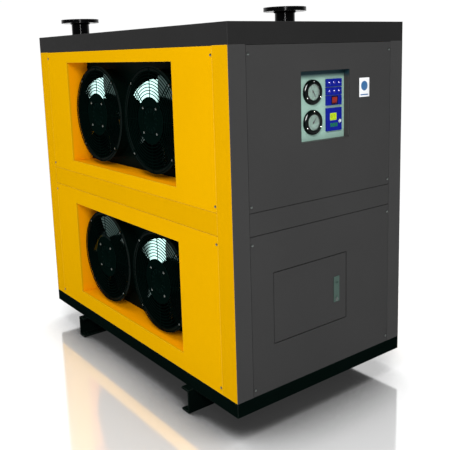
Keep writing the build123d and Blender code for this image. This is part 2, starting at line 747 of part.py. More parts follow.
keep("gauge_cases", *[gauge_case(z) for z in GAUGE_Z.values()])
dials = []
glasses = []
for z in GAUGE_Z.values():
    dial = control_disc(GAUGE_X, z, DIAL_DEPTH, DIAL_RADIUS)
    spindle_hole = (DIAL_DEPTH[0] - 1, DIAL_DEPTH[1] + 1)
    dials.append(dial - control_disc(GAUGE_X, z, spindle_hole, NEEDLE_SPINDLE[0] + RUNNING_CLEARANCE))
    glasses.append(control_disc(GAUGE_X, z, GLASS_DEPTH, DIAL_RADIUS))
keep("gauge_dials", *dials)
keep("gauge_glasses", *glasses)
for name, z in GAUGE_Z.items():
    spindle = Axis((GAUGE_X, -HALF_LENGTH, z), (0, 1, 0))
    keep(f"{name}_gauge_needle", gauge_needle(z).rotate(spindle, NEEDLE_TURN[name]))

lamp_housings = []
lenses = []
for row_z in LAMP_ROWS:
    middle_z = (row_z[0] + row_z[1]) / 2
    housing = control_block(MODULE_X, (MODULE_DEPTH, TRAY_DEPTH), row_z)
    for x in LAMP_X:
        housing -= control_disc(x, middle_z, (MODULE_DEPTH - 1, TRAY_DEPTH - 1), LAMP_RADIUS)
        lens = control_disc(x, middle_z, (MODULE_DEPTH - LENS_PROUD, TRAY_DEPTH - 1), LAMP_RADIUS)
        front = lens.edges().sort_by(Axis.Y)[0]
        lenses.append(fillet(front, LENS_ROUND))
    lamp_housings.append(housing)
keep("indicator_housings", *lamp_housings)
keep("indicator_lenses", *lenses)

rocker_z = (SWITCH_Z[0] + SWITCH_Z[1]) / 2
pocket_x = (ROCKER_X[0] - CONTROL_CLEARANCE, ROCKER_X[1] + CONTROL_CLEARANCE)
pocket_half = ROCKER_RADIUS + CONTROL_CLEARANCE
pocket_z = (rocker_z - pocket_half, rocker_z + pocket_half)
pocket = control_block(pocket_x, (MODULE_DEPTH - 1, ROCKER_POCKET_DEPTH - 1), pocket_z)
socket_x = (ROCKER_X[0] - SOCKET_WALL, ROCKER_X[1] + SOCKET_WALL)
socket_z = (pocket_z[0] - SOCKET_WALL + 1, pocket_z[1] + SOCKET_WALL - 1)
socket = control_block(socket_x, (TRAY_DEPTH, ROCKER_POCKET_DEPTH + 1), socket_z)
switch = control_block(MODULE_X, (MODULE_DEPTH, TRAY_DEPTH), SWITCH_Z) + socket - pocket
rocker_width = ROCKER_X[1] - ROCKER_X[0]
pivot_radius = ROCKER_PIN + RUNNING_CLEARANCE
pivot_hole = Rot(0, 90, 0) * Cylinder(pivot_radius, rocker_width + 6 * CONTROL_CLEARANCE)
rocker_centre = Pos(sum(ROCKER_X) / 2, ROCKER_PIVOT_DEPTH - HALF_LENGTH, rocker_z)
switch -= rocker_centre * pivot_hole
keep("switch_housing", switch)

rocker = Rot(0, 90, 0) * Cylinder(ROCKER_RADIUS, rocker_width)
trim = 4 * ROCKER_RADIUS
for tilt in (-ROCKER_TILT, ROCKER_TILT):
    rocker -= Rot(tilt, 0, 0) * Pos(0, -ROCKER_FACE - trim / 2, 0) * Box(rocker_width + 2, trim, trim)
rocker += Rot(0, 90, 0) * Cylinder(ROCKER_PIN, rocker_width + 4 * CONTROL_CLEARANCE)
keep("rocker_switch", rocker_centre * Rot(ROCKER_TILT, 0, 0) * rocker)

tray_slot = (socket_x[0] - CONTROL_CLEARANCE, socket_x[1] + CONTROL_CLEARANCE)
tray_slot_z = (socket_z[0] - CONTROL_CLEARANCE, socket_z[1] + CONTROL_CLEARANCE)
slot_cut = control_block(tray_slot, (TRAY_DEPTH - 1, TRAY_DEPTH + SHEET + 1), tray_slot_z)
keep("instrument_tray", instrument_tray() - slot_cut)

controller = control_block(MODULE_X, (MODULE_DEPTH, TRAY_DEPTH), CONTROLLER_Z)
display_pocket = (MODULE_DEPTH - 1, MODULE_DEPTH + DISPLAY_POCKET)
controller -= control_block(DISPLAY_X, display_pocket, DISPLAY_Z)
for x in KEY_X.values():
    key_x = (x - KEY_SIZE[0] / 2 - CONTROL_CLEARANCE, x + KEY_SIZE[0] / 2 + CONTROL_CLEARANCE)
    key_z = (KEY_Z - KEY_SIZE[1] / 2 - CONTROL_CLEARANCE, KEY_Z + KEY_SIZE[1] / 2 + CONTROL_CLEARANCE)
    controller -= control_block(key_x, (MODULE_DEPTH - 1, TRAY_DEPTH - KEY_POCKET_BACK), key_z)
button_hole = (MODULE_DEPTH - 1, TRAY_DEPTH - 1)
controller -= control_disc(BUTTON_X, BUTTON_Z, button_hole, BUTTON_RADIUS + CONTROL_CLEARANCE)
keep("controller_housing", controller)
display_depth = (MODULE_DEPTH + DISPLAY_SETBACK, MODULE_DEPTH + DISPLAY_POCKET)
keep("controller_display", control_block(DISPLAY_X, display_depth, DISPLAY_Z))
key_depth = (MODULE_DEPTH - KEY_PROUD, TRAY_DEPTH - KEY_BACK)
for name, x in KEY_X.items():
    key_x = (x - KEY_SIZE[0] / 2, x + KEY_SIZE[0] / 2)
    key_z = (KEY_Z - KEY_SIZE[1] / 2, KEY_Z + KEY_SIZE[1] / 2)
    keep(f"controller_key_{name}", control_block(key_x, key_depth, key_z))
button_depth = (MODULE_DEPTH - BUTTON_PROUD, TRAY_DEPTH - BUTTON_BACK)
button = control_disc(BUTTON_X, BUTTON_Z, button_depth, BUTTON_RADIUS)
keep("start_button", fillet(button.edges().sort_by(Axis.Y)[0], BUTTON_ROUND))


# Access door, its hinges and its latch

def access_door():
    x = (DOOR_OPENING_X[0] + DOOR_GAP, DOOR_OPENING_X[1] - DOOR_GAP)
    z = (DOOR_OPENING_Z[0] + DOOR_GAP, DOOR_OPENING_Z[1] - DOOR_GAP)
    outer = control_block(x, (0, DOOR_FOLD), z)
    front_left = outer.edges().filter_by(Axis.Z).sort_by(Axis.Y)[0:2].sort_by(Axis.X)[0]
    outer = fillet(front_left, DOOR_ROUND)
    inner_x = (x[0] + SHEET, x[1] - SHEET)
    inner_z = (z[0] + SHEET, z[1] - SHEET)
    door = outer - control_block(inner_x, (SHEET, DOOR_FOLD + 1), inner_z)
    hole_half = [size / 2 - LATCH_HOLE_MARGIN for size in LATCH_SIZE]
    latch_x = (LATCH_X - hole_half[0], LATCH_X + hole_half[0])
    latch_z = (LATCH_Z - hole_half[1], LATCH_Z + hole_half[1])
    door -= control_block(latch_x, (-1, SHEET + 1), latch_z)
    for edge in z:
        hole_z = (edge - SHEET - 1, edge + SHEET + 1)
        door -= rod(HINGE_X, HINGE_DEPTH - HALF_LENGTH, hole_z, HINGE_PIN + RUNNING_CLEARANCE)
    return door


def door_hinge(edge, outside):
    """Bracket on the panel's back with the pin that the door turns on; outside is +1 above the door."""
    tab_start = edge + outside * HINGE_GAP
    tab = sorted((tab_start, tab_start + outside * HINGE_TAB))
    leg = sorted((tab_start, tab_start + outside * HINGE_LEG))
    bracket_x = (HINGE_X - HINGE_REACH[0], HINGE_X + HINGE_REACH[1])
    hinge = control_block(bracket_x, (SHEET, 2 * HINGE_DEPTH), tab)
    hinge += control_block(bracket_x, (SHEET, 2 * SHEET), leg)
    pin = sorted((tab_start + outside * HINGE_TAB, edge - outside * HINGE_PIN_END))
    return hinge + rod(HINGE_X, HINGE_DEPTH - HALF_LENGTH, pin, HINGE_PIN)


keep("access_door", access_door())
keep("door_hinges", door_hinge(DOOR_OPENING_Z[1], 1), door_hinge(DOOR_OPENING_Z[0], -1))

plate_x = (LATCH_X - LATCH_SIZE[0] / 2, LATCH_X + LATCH_SIZE[0] / 2)
plate_z = (LATCH_Z - LATCH_SIZE[1] / 2, LATCH_Z + LATCH_SIZE[1] / 2)
body_x = (plate_x[0] + LATCH_BODY_MARGIN, plate_x[1] - LATCH_BODY_MARGIN)
body_z = (plate_z[0] + LATCH_BODY_MARGIN, plate_z[1] - LATCH_BODY_MARGIN)
latch = control_block(plate_x, (-LATCH_PROUD, 0), plate_z)
latch += control_block(body_x, (0, LATCH_BODY_DEPTH), body_z)
handle_half = HANDLE_WIDTH / 2
handle_pocket_x = (LATCH_X - handle_half - CONTROL_CLEARANCE, LATCH_X + handle_half + CONTROL_CLEARANCE)
handle_pocket_z = (LATCH_Z + HANDLE_SPAN[0] - 1, LATCH_Z + HANDLE_SPAN[1] + 1)
latch -= control_block(handle_pocket_x, (-LATCH_PROUD - 1, HANDLE_POCKET_DEPTH), handle_pocket_z)
pivot_up, pivot_depth = HANDLE_PIVOT
handle_axis = Pos(LATCH_X, pivot_depth - HALF_LENGTH, LATCH_Z + pivot_up) * Rot(0, 90, 0)
latch -= handle_axis * Cylinder(HANDLE_PIN + RUNNING_CLEARANCE, HANDLE_WIDTH + 6)
lock_z = LATCH_Z + LOCK_Z
lock_bore = (-LATCH_PROUD - 1, LATCH_BODY_DEPTH + 1)
latch -= control_disc(LATCH_X, lock_z, lock_bore, LOCK_RADIUS + RUNNING_CLEARANCE)
keep("latch_plate", latch)

handle_x = (LATCH_X - handle_half, LATCH_X + handle_half)
handle_z = (LATCH_Z + HANDLE_SPAN[0], LATCH_Z + pivot_up - HANDLE_PIN)
handle = control_block(handle_x, HANDLE_DEPTH, handle_z)
handle += handle_axis * Cylinder(HANDLE_BARREL, HANDLE_WIDTH)
handle += handle_axis * Cylinder(HANDLE_PIN, HANDLE_WIDTH + 4)
keep("latch_handle", handle)

lock = control_disc(LATCH_X, lock_z, (-LOCK_PROUD, CAM_DEPTH[1]), LOCK_RADIUS)
keyway_x = (LATCH_X - KEYWAY[0] / 2, LATCH_X + KEYWAY[0] / 2)
keyway_z = (lock_z - KEYWAY[1] / 2, lock_z + KEYWAY[1] / 2)
lock -= control_block(keyway_x, (-LOCK_PROUD - 1, SHEET), keyway_z)
cam_x = (LATCH_X - CAM_SIZE[0] / 2, LATCH_X + CAM_SIZE[0] / 2)
lock += control_block(cam_x, CAM_DEPTH, (lock_z - CAM_SIZE[1], lock_z))
keep("latch_lock", lock)


# Compressed-air pieces

def pipe_flange(x, y):
    flange = rod(x, y, (FLANGE_TOP - FLANGE_THICK, FLANGE_TOP), FLANGE_RADIUS)
    flange -= rod(x, y, (FLANGE_TOP - FLANGE_THICK - 1, FLANGE_TOP + 1), PIPE_RADIUS + FLANGE_CLEARANCE)
    for hole in range(FLANGE_HOLES):
        dx, dy = polar(FLANGE_PCD / 2, 45 + hole * 360 / FLANGE_HOLES)
        flange -= rod(x + dx, y + dy, (FLANGE_TOP - FLANGE_THICK - 1, FLANGE_TOP + 1), FLANGE_HOLE_RADIUS)
    return flange


def heat_exchanger():
    """Insulated block on four legs, hollow inside its foam and casing."""
    core = block(EXCHANGER_X, EXCHANGER_Y, EXCHANGER_Z)
    spans = (EXCHANGER_X, EXCHANGER_Y, EXCHANGER_Z)
    inner = [(span[0] + EXCHANGER_WALL, span[1] - EXCHANGER_WALL) for span in spans]
    piece = fillet(core.edges().filter_by(Axis.Z), EXCHANGER_ROUND) - block(*inner)
    half = EXCHANGER_LEG / 2
    for x in (EXCHANGER_X[0] + EXCHANGER_LEG, EXCHANGER_X[1] - EXCHANGER_LEG):
        for y in (EXCHANGER_Y[0] + EXCHANGER_LEG, EXCHANGER_Y[1] - EXCHANGER_LEG):
            piece += block((x - half, x + half), (y - half, y + half), (BASE_TOP, EXCHANGER_Z[0]))
    return piece


def moisture_separator():
    """Upright vessel on three legs with two stubs that meet the exchanger."""
    x, y = SEPARATOR_XY
    vessel = fillet(rod(x, y, SEPARATOR_Z, SEPARATOR_RADIUS).edges(), SEPARATOR_ROUND)
    for level in STUB_LEVELS:
        length = y - EXCHANGER_Y[1]
        vessel += Pos(x, y - length / 2, level) * Rot(90, 0, 0) * Cylinder(STUB_RADIUS, length)
    inner_z = (SEPARATOR_Z[0] + SEPARATOR_WALL, SEPARATOR_Z[1] - SEPARATOR_WALL)
    inner = rod(x, y, inner_z, SEPARATOR_RADIUS - SEPARATOR_WALL)
    vessel -= fillet(inner.edges(), SEPARATOR_ROUND - SEPARATOR_WALL)
    for level in STUB_LEVELS:
        length = y - EXCHANGER_Y[1] + 2
        vessel -= Pos(x, y - length / 2, level) * Rot(90, 0, 0) * Cylinder(STUB_RADIUS - STUB_WALL, length)
    for turn in (90, 210, 330):
        dx, dy = polar(SEPARATOR_RADIUS - LEG_SETBACK, turn)
        vessel += rod(x + dx, y + dy, (BASE_TOP, SEPARATOR_Z[0] + LEG_OVERLAP), SEPARATOR_LEG)
    return vessel


inlet_x, inlet_y = INLET_XY
outlet_x, outlet_y = OUTLET_XY
pipe_top = FLANGE_TOP - FLANGE_SETBACK
inlet_points = [
    (inlet_x, inlet_y, pipe_top),
    (inlet_x, inlet_y, INLET_RUN_Z),
    (SEPARATOR_XY[0], inlet_y, INLET_RUN_Z),
    (SEPARATOR_XY[0], EXCHANGER_Y[1], INLET_RUN_Z),
]
keep("inlet_pipe", route(inlet_points, ELBOW_RADIUS, PIPE_RADIUS, PIPE_RADIUS - PIPE_WALL))
outlet_outer = rod(outlet_x, outlet_y, (EXCHANGER_Z[1], pipe_top), PIPE_RADIUS)
outlet_inner = rod(outlet_x, outlet_y, (EXCHANGER_Z[1] - 1, pipe_top + 1), PIPE_RADIUS - PIPE_WALL)
keep("outlet_pipe", outlet_outer - outlet_inner)
keep("pipe_flanges", pipe_flange(*INLET_XY), pipe_flange(*OUTLET_XY))

port_z = (EXCHANGER_Z[1] - EXCHANGER_WALL - 1, EXCHANGER_Z[1] + 1)
port_radius = STUB_RADIUS - STUB_WALL
exchanger = heat_exchanger() - rod(outlet_x, outlet_y, port_z, port_radius)
for level in (INLET_RUN_Z, *STUB_LEVELS):
    side_port = Rot(90, 0, 0) * Cylinder(port_radius, 2 * EXCHANGER_WALL)
    exchanger -= Pos(SEPARATOR_XY[0], EXCHANGER_Y[1] - EXCHANGER_WALL / 2, level) * side_port
keep("heat_exchanger", exchanger)
keep("moisture_separator", moisture_separator())

valve_x, valve_y = SEPARATOR_XY
neck_z = (VALVE_BODY_Z[1], SEPARATOR_Z[0])
valve = rod(valve_x, valve_y, neck_z, VALVE_NECK[0])
valve -= rod(valve_x, valve_y, (neck_z[0] - 1, neck_z[1] + 1), VALVE_NECK[1])
body_x = (valve_x - VALVE_HALF[0], valve_x + VALVE_HALF[0])
body_y = (valve_y - VALVE_HALF[1], valve_y + VALVE_HALF[1])
coil_radius, coil_length = VALVE_COIL
coil_place = Pos(body_x[0] - coil_length / 2, valve_y, DRAIN_Z) * Rot(0, 90, 0)
valve += block(body_x, body_y, VALVE_BODY_Z)
keep("drain_valve", valve + coil_place * Cylinder(coil_radius, coil_length))

drain_points = [
    (body_x[1], valve_y, DRAIN_Z),
    (DRAIN_X, valve_y, DRAIN_Z),
    (DRAIN_X, HALF_LENGTH - FITTING_DEPTH, DRAIN_Z),
]
drain = route(drain_points, DRAIN_BEND, DRAIN_RADIUS, DRAIN_BORE)
drain += side_disc("rear", DRAIN_X, DRAIN_Z, (-COLLAR_PROUD, 0), COLLAR_RADIUS)
drain += side_disc("rear", DRAIN_X, DRAIN_Z, (0, FITTING_DEPTH), FITTING_RADIUS)
drain -= side_disc("rear", DRAIN_X, DRAIN_Z, (-COLLAR_PROUD - 1, SOCKET_DEPTH), FITTING_BORE)
drain -= side_disc("rear", DRAIN_X, DRAIN_Z, (SOCKET_DEPTH - 1, FITTING_DEPTH + 2), DRAIN_BORE)
keep("drain_line", drain)


# Refrigerant circuit

def condenser(row):
    """Finned coil core between two end plates, with a folded rim above and below."""
    z = CONDENSER_Z[row]
    core_y = (CONDENSER_Y[0] + SHEET, CONDENSER_Y[1] - SHEET)
    coil = side_block("fan", core_y, CONDENSER_DEPTH, (z[0] + SHEET, z[1] - SHEET))
    rim_depth = (CONDENSER_DEPTH[0] - CONDENSER_RIM, CONDENSER_DEPTH[1] + CONDENSER_RIM)
    for edge in ((z[0], z[0] + SHEET), (z[1] - SHEET, z[1])):
        coil += side_block("fan", CONDENSER_Y, rim_depth, edge)
    for edge in ((CONDENSER_Y[0], CONDENSER_Y[0] + SHEET), (CONDENSER_Y[1] - SHEET, CONDENSER_Y[1])):
        coil += side_block("fan", edge, rim_depth, z)
    return coil


def compressor():
    x, y = COMPRESSOR_XY
    shell = fillet(rod(x, y, COMPRESSOR_Z, COMPRESSOR_RADIUS).edges(), COMPRESSOR_ROUND)
    inner_z = (COMPRESSOR_Z[0] + COMPRESSOR_WALL, COMPRESSOR_Z[1] - COMPRESSOR_WALL)
    inner = rod(x, y, inner_z, COMPRESSOR_RADIUS - COMPRESSOR_WALL)
    inner = fillet(inner.edges(), COMPRESSOR_ROUND - COMPRESSOR_WALL)
    foot_z = (BASE_TOP + MOUNT_HEIGHT, BASE_TOP + MOUNT_HEIGHT + FOOTPLATE_THICK)
    half = FOOTPLATE / 2
    plate = block((x - half, x + half), (y - half, y + half), foot_z)
    wall_y = y - COMPRESSOR_RADIUS
    terminal_y = (wall_y - TERMINAL_DEPTH, wall_y + COMPRESSOR_WALL + SHEET)
    terminal = block((x - TERMINAL_HALF, x + TERMINAL_HALF), terminal_y, TERMINAL_Z)
    for dx in (-MOUNT_SPREAD, MOUNT_SPREAD):
        for dy in (-MOUNT_SPREAD, MOUNT_SPREAD):
            plate -= rod(x + dx, y + dy, (foot_z[0] - 1, foot_z[1] + 1), MOUNT_HOLE)
    return shell + plate + terminal - inner


def compressor_mounts():
    x, y = COMPRESSOR_XY
    mounts = []
    for dx in (-MOUNT_SPREAD, MOUNT_SPREAD):
        for dy in (-MOUNT_SPREAD, MOUNT_SPREAD):
            mount = rod(x + dx, y + dy, (BASE_TOP, BASE_TOP + MOUNT_HEIGHT), MOUNT_RADIUS)
            stud_z = (BASE_TOP, BASE_TOP + MOUNT_HEIGHT + 2 * FOOTPLATE_THICK - 2)
            mounts.append(mount + rod(x + dx, y + dy, stud_z, MOUNT_STUD))
    return mounts


def refrigerant_lines():
    """Headers, discharge, liquid and suction lines, each a solid of its own."""
    comp_x, comp_y = COMPRESSOR_XY
    rec_x, rec_y = RECEIVER_XY
    gas_x, gas_r = GAS_HEADER
    liquid_x, liquid_r = LIQUID_HEADER
    header_z = (CONDENSER_Z["lower"][0] + HEADER_INSET, CONDENSER_Z["upper"][1] - HEADER_INSET)
    top = COMPRESSOR_Z[1]
    discharge_y = comp_y + DISCHARGE_SETBACK
    gas = rod(gas_x, HEADER_Y, header_z, gas_r)
    discharge = route([
        (comp_x + PORT_SPREAD, discharge_y, top),
        (comp_x + PORT_SPREAD, discharge_y, DISCHARGE_Z),
        (gas_x, discharge_y, DISCHARGE_Z),
        (gas_x, HEADER_Y + gas_r - HEADER_BITE, DISCHARGE_Z),
    ], DISCHARGE_BEND, GAS_RADIUS - 1)
    liquid = rod(liquid_x, HEADER_Y, header_z, liquid_r)
    condensate = route([
        (liquid_x + liquid_r - HEADER_BITE, HEADER_Y, CONDENSATE_Z),
        (rec_x - RECEIVER_RADIUS, rec_y, CONDENSATE_Z),
    ], LIQUID_BEND, LIQUID_RADIUS)
    feed = route([
        (rec_x, rec_y, RECEIVER_Z[1]),
        (rec_x, rec_y, LIQUID_Z),
        (rec_x, DRIER_Y[1], LIQUID_Z),
    ], LIQUID_BEND, LIQUID_RADIUS)
    middle_ends = [(rec_x, DRIER_Y[0], LIQUID_Z), (rec_x, VALVE_Y[1], LIQUID_Z)]
    middle = route(middle_ends, LIQUID_BEND, LIQUID_RADIUS)
    injection = route([
        (rec_x, VALVE_Y[0], LIQUID_Z),
        (rec_x, INJECTION_Y, LIQUID_Z),
        (EXCHANGER_X[0], INJECTION_Y, LIQUID_Z),
    ], LIQUID_BEND, LIQUID_RADIUS)
    suction_rear = comp_y - SUCTION_SETBACK
    suction = route([
        (EXCHANGER_X[0], SUCTION_Y, SUCTION_Z),
        (SUCTION_X, SUCTION_Y, SUCTION_Z),
        (SUCTION_X, suction_rear, SUCTION_Z),
        (comp_x - PORT_SPREAD, suction_rear, SUCTION_Z),
        (comp_x - PORT_SPREAD, suction_rear, top),
    ], SUCTION_BEND, SUCTION_RADIUS)
    return [gas + discharge, liquid + condensate, feed, middle, injection, suction]


def line_fittings():
    """Filter-drier and expansion valve in the liquid line."""
    x = RECEIVER_XY[0]
    half = VALVE_SECTION
    drier_place = Pos(x, sum(DRIER_Y) / 2, LIQUID_Z) * Rot(90, 0, 0)
    drier = drier_place * Cylinder(DRIER_RADIUS, DRIER_Y[1] - DRIER_Y[0])
    drier = fillet(drier.edges(), DRIER_RADIUS / 3)
    body = block((x - half, x + half), VALVE_Y, (LIQUID_Z - half, LIQUID_Z + half))
    head_radius, head_height = VALVE_HEAD
    head = rod(x, 0, (LIQUID_Z + half, LIQUID_Z + half + head_height), head_radius)
    return [drier, body + head]


keep("condensers", *[condenser(row) for row in CONDENSER_Z])
keep("compressor", compressor())
keep("compressor_mounts", *compressor_mounts())
foot_radius, foot_height = RECEIVER_FOOT
shell_z = (RECEIVER_Z[0] + RECEIVER_LIFT, RECEIVER_Z[1])
bore_z = (shell_z[0] + RECEIVER_WALL, shell_z[1] - RECEIVER_WALL)
receiver = fillet(rod(*RECEIVER_XY, shell_z, RECEIVER_RADIUS).edges(), RECEIVER_ROUND)
receiver += rod(*RECEIVER_XY, (RECEIVER_Z[0], RECEIVER_Z[0] + foot_height), foot_radius)
receiver_bore = rod(*RECEIVER_XY, bore_z, RECEIVER_RADIUS - RECEIVER_WALL)
keep("liquid_receiver", receiver - fillet(receiver_bore.edges(), RECEIVER_ROUND - RECEIVER_WALL))
keep("refrigerant_lines", *refrigerant_lines())
keep("liquid_line_fittings", *line_fittings())


# Electrical pieces

def electrical_box():
    inner_x = (BOX_X[0] + SHEET, BOX_X[1] - SHEET)
    inner_z = (BOX_Z[0] + SHEET, BOX_Z[1] - SHEET)
    box = control_block(BOX_X, (SHEET, BOX_DEPTH), BOX_Z)
    return box - control_block(inner_x, (SHEET - 1, BOX_DEPTH - SHEET), inner_z)


def device_row(count, first, pitch):
    """Middles of a row of devices on a rail."""
    return [first + number * pitch for number in range(count)]


def switchgear():
    """Contactors, overload relays and breakers on two rails, and the terminal strip."""
    back = BOX_DEPTH - SHEET
    seat = back - RAIL_THICK
    pieces = []
    for level in RAIL_LEVELS:
        rail_x = (BOX_X[0] + RAIL_INSET, BOX_X[1] - RAIL_INSET)
        pieces.append(control_block(rail_x, (seat, back), (level - RAIL_HALF, level + RAIL_HALF)))
    for x in device_row(*CONTACTORS):
        body_x = (x - CONTACTOR_HALF, x + CONTACTOR_HALF)
        contactor = control_block(body_x, (back - CONTACTOR_DEPTH, seat), DEVICE_Z)
        recess_x = (x - CONTACTOR_HALF + RAIL_THICK, x + CONTACTOR_HALF - RAIL_THICK)
        recess_depth = (back - CONTACTOR_DEPTH - 1, back - CONTACTOR_DEPTH + 10)
        recess_z = (DEVICE_Z[0] + 15, DEVICE_Z[1] - 15)
        pieces.append(contactor - control_block(recess_x, recess_depth, recess_z))
    for x in device_row(*BREAKERS):
        breaker = control_block((x - BREAKER_HALF, x + BREAKER_HALF), (back - BREAKER_DEPTH, seat), DEVICE_Z)
        toggle_depth = (back - BREAKER_DEPTH - RAIL_THICK, back - BREAKER_DEPTH)
        toggle_x = (x - TOGGLE[0] / 2, x + TOGGLE[0] / 2)
        toggle_z = (sum(DEVICE_Z) / 2 - TOGGLE[1] / 2, sum(DEVICE_Z) / 2 + TOGGLE[1] / 2)
        pieces.append(breaker + control_block(toggle_x, toggle_depth, toggle_z))
    for x in device_row(*TERMINALS):
        block_x = (x - TERMINAL_BLOCK_HALF, x + TERMINAL_BLOCK_HALF)
        pieces.append(control_block(block_x, (back - TERMINAL_BLOCK_DEPTH, seat), TERMINAL_BLOCK_Z))
    pieces.append(control_block(SUPPLY_X, (back - SUPPLY_DEPTH, seat), SUPPLY_Z))
    return pieces


grommet = side_disc("rear", GROMMET_X, DRAIN_Z, (-COLLAR_PROUD, 0), COLLAR_RADIUS)
grommet += side_disc("rear", GROMMET_X, DRAIN_Z, (0, SHEET), GROMMET_NECK)
grommet += side_disc("rear", GROMMET_X, DRAIN_Z, (SHEET, GROMMET_LIP[1]), GROMMET_LIP[0])
grommet -= side_disc("rear", GROMMET_X, DRAIN_Z, (-COLLAR_PROUD - 1, GROMMET_LIP[1] + 1), GROMMET_BORE)
keep("electrical_box", electrical_box())
keep("switchgear", *switchgear())
keep("cable_grommet", grommet)


os.makedirs("parts", exist_ok=True)
for name, pieces in parts.items():
    shape = pieces[0] if len(pieces) == 1 else Compound(children=pieces)
    export_step(shape, f"parts/{name}.step")
print(len(parts), "nodes")
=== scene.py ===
import json
import math

import bmesh
import bpy
from mathutils import Matrix, Vector

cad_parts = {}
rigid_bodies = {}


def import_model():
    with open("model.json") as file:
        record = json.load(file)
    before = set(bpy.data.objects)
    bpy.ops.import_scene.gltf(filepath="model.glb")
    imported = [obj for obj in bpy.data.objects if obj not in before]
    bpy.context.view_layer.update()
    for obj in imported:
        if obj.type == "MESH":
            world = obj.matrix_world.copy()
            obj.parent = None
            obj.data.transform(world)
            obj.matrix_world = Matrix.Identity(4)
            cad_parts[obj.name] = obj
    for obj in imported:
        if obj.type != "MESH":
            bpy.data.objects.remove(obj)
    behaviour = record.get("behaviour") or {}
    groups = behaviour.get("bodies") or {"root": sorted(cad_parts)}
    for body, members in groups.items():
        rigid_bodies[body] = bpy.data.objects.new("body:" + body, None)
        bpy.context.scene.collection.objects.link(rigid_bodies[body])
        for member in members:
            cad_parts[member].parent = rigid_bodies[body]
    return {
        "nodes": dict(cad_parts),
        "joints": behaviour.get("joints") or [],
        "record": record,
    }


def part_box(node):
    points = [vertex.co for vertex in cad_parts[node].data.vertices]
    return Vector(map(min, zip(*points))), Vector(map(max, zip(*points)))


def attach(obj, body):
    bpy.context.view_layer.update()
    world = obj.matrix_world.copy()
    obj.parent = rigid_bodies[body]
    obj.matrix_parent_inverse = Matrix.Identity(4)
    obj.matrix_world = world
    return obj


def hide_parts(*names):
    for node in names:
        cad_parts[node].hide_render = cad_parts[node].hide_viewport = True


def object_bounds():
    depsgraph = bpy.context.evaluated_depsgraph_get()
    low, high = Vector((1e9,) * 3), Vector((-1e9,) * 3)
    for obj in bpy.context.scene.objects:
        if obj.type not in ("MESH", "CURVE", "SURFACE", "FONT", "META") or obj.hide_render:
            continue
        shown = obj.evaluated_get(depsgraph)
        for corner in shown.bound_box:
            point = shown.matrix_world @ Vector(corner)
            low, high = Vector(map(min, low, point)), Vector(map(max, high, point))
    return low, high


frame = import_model()
CAD_BOX = [list(corner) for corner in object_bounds()]
NODES = frame["nodes"]
JOINTS = {joint["name"]: joint for joint in frame["joints"]}
SCENE = bpy.context.scene

FAN_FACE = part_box("fan_side_upper_panel")[0].x
CONTROL_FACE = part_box("control_upper_panel")[0].y
INTAKE_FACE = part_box("intake_panels")[1].x
FAN_NAMES = [f"{row}_{end}" for row in ("upper", "lower") for end in ("front", "rear")]


def add_object(name, data):
    """New object in the scene."""
    made = bpy.data.objects.new(name, data)
    SCENE.collection.objects.link(made)
    return made


def set_all(made, **settings):
    for key, value in settings.items():
        setattr(made, key, value)
    return made


# Materials

def node(tree, kind, inputs=None, **settings):
    made = set_all(tree.nodes.new(kind), **settings)
    for key, value in (inputs or {}).items():
        made.inputs[key].default_value = value
    return made


def noise(tree, place, scale, detail, rough=0.55):
    made = node(tree, "ShaderNodeTexNoise", {"Scale": scale, "Detail": detail, "Roughness": rough})
    tree.links.new(place, made.inputs["Vector"])
    return made.outputs["Fac"]


def spread(tree, value, low, high, start=0.3, end=0.7):
    """Value remapped from start..end to low..high."""
    made = node(tree, "ShaderNodeMapRange", {1: start, 2: end, 3: low, 4: high})
    tree.links.new(value, made.inputs[0])
    return made.outputs[0]


def feed(tree, sockets, values):
    """Sets each socket to its value: a number, a colour or another node's output."""
    for socket, value in zip(sockets, values):
        if isinstance(value, tuple):
            socket.default_value = (*value, 1.0)
        elif isinstance(value, (int, float)):
            socket.default_value = value
        else:
            tree.links.new(value, socket)


def times(tree, first, second, operation="MULTIPLY"):
    made = node(tree, "ShaderNodeMath", operation=operation)
    feed(tree, made.inputs, (first, second))
    return made.outputs[0]


MIX_SOCKETS = {"FLOAT": (2, 3, 0), "RGBA": (6, 7, 2)}


def blend(tree, share, first, second, kind="RGBA"):
    made = node(tree, "ShaderNodeMix", data_type=kind)
    low, high, result = MIX_SOCKETS[kind]
    feed(tree, (made.inputs[0], made.inputs[low], made.inputs[high]), (share, first, second))
    return made.outputs[result]


def coordinate(tree, vector, axis):
    """One coordinate of a vector."""
    made = node(tree, "ShaderNodeSeparateXYZ")
    tree.links.new(vector, made.inputs[0])
    return made.outputs[axis]


M = {}
FINE_SCALE = 14
BROAD_SHARE = 0.6
GRAIN_DEPTH = 0.0003
COAT_ROUGH = 0.08
PAINTED_BOUNCE_FROM, PAINTED_BOUNCE_TO = 0.004, 0.012


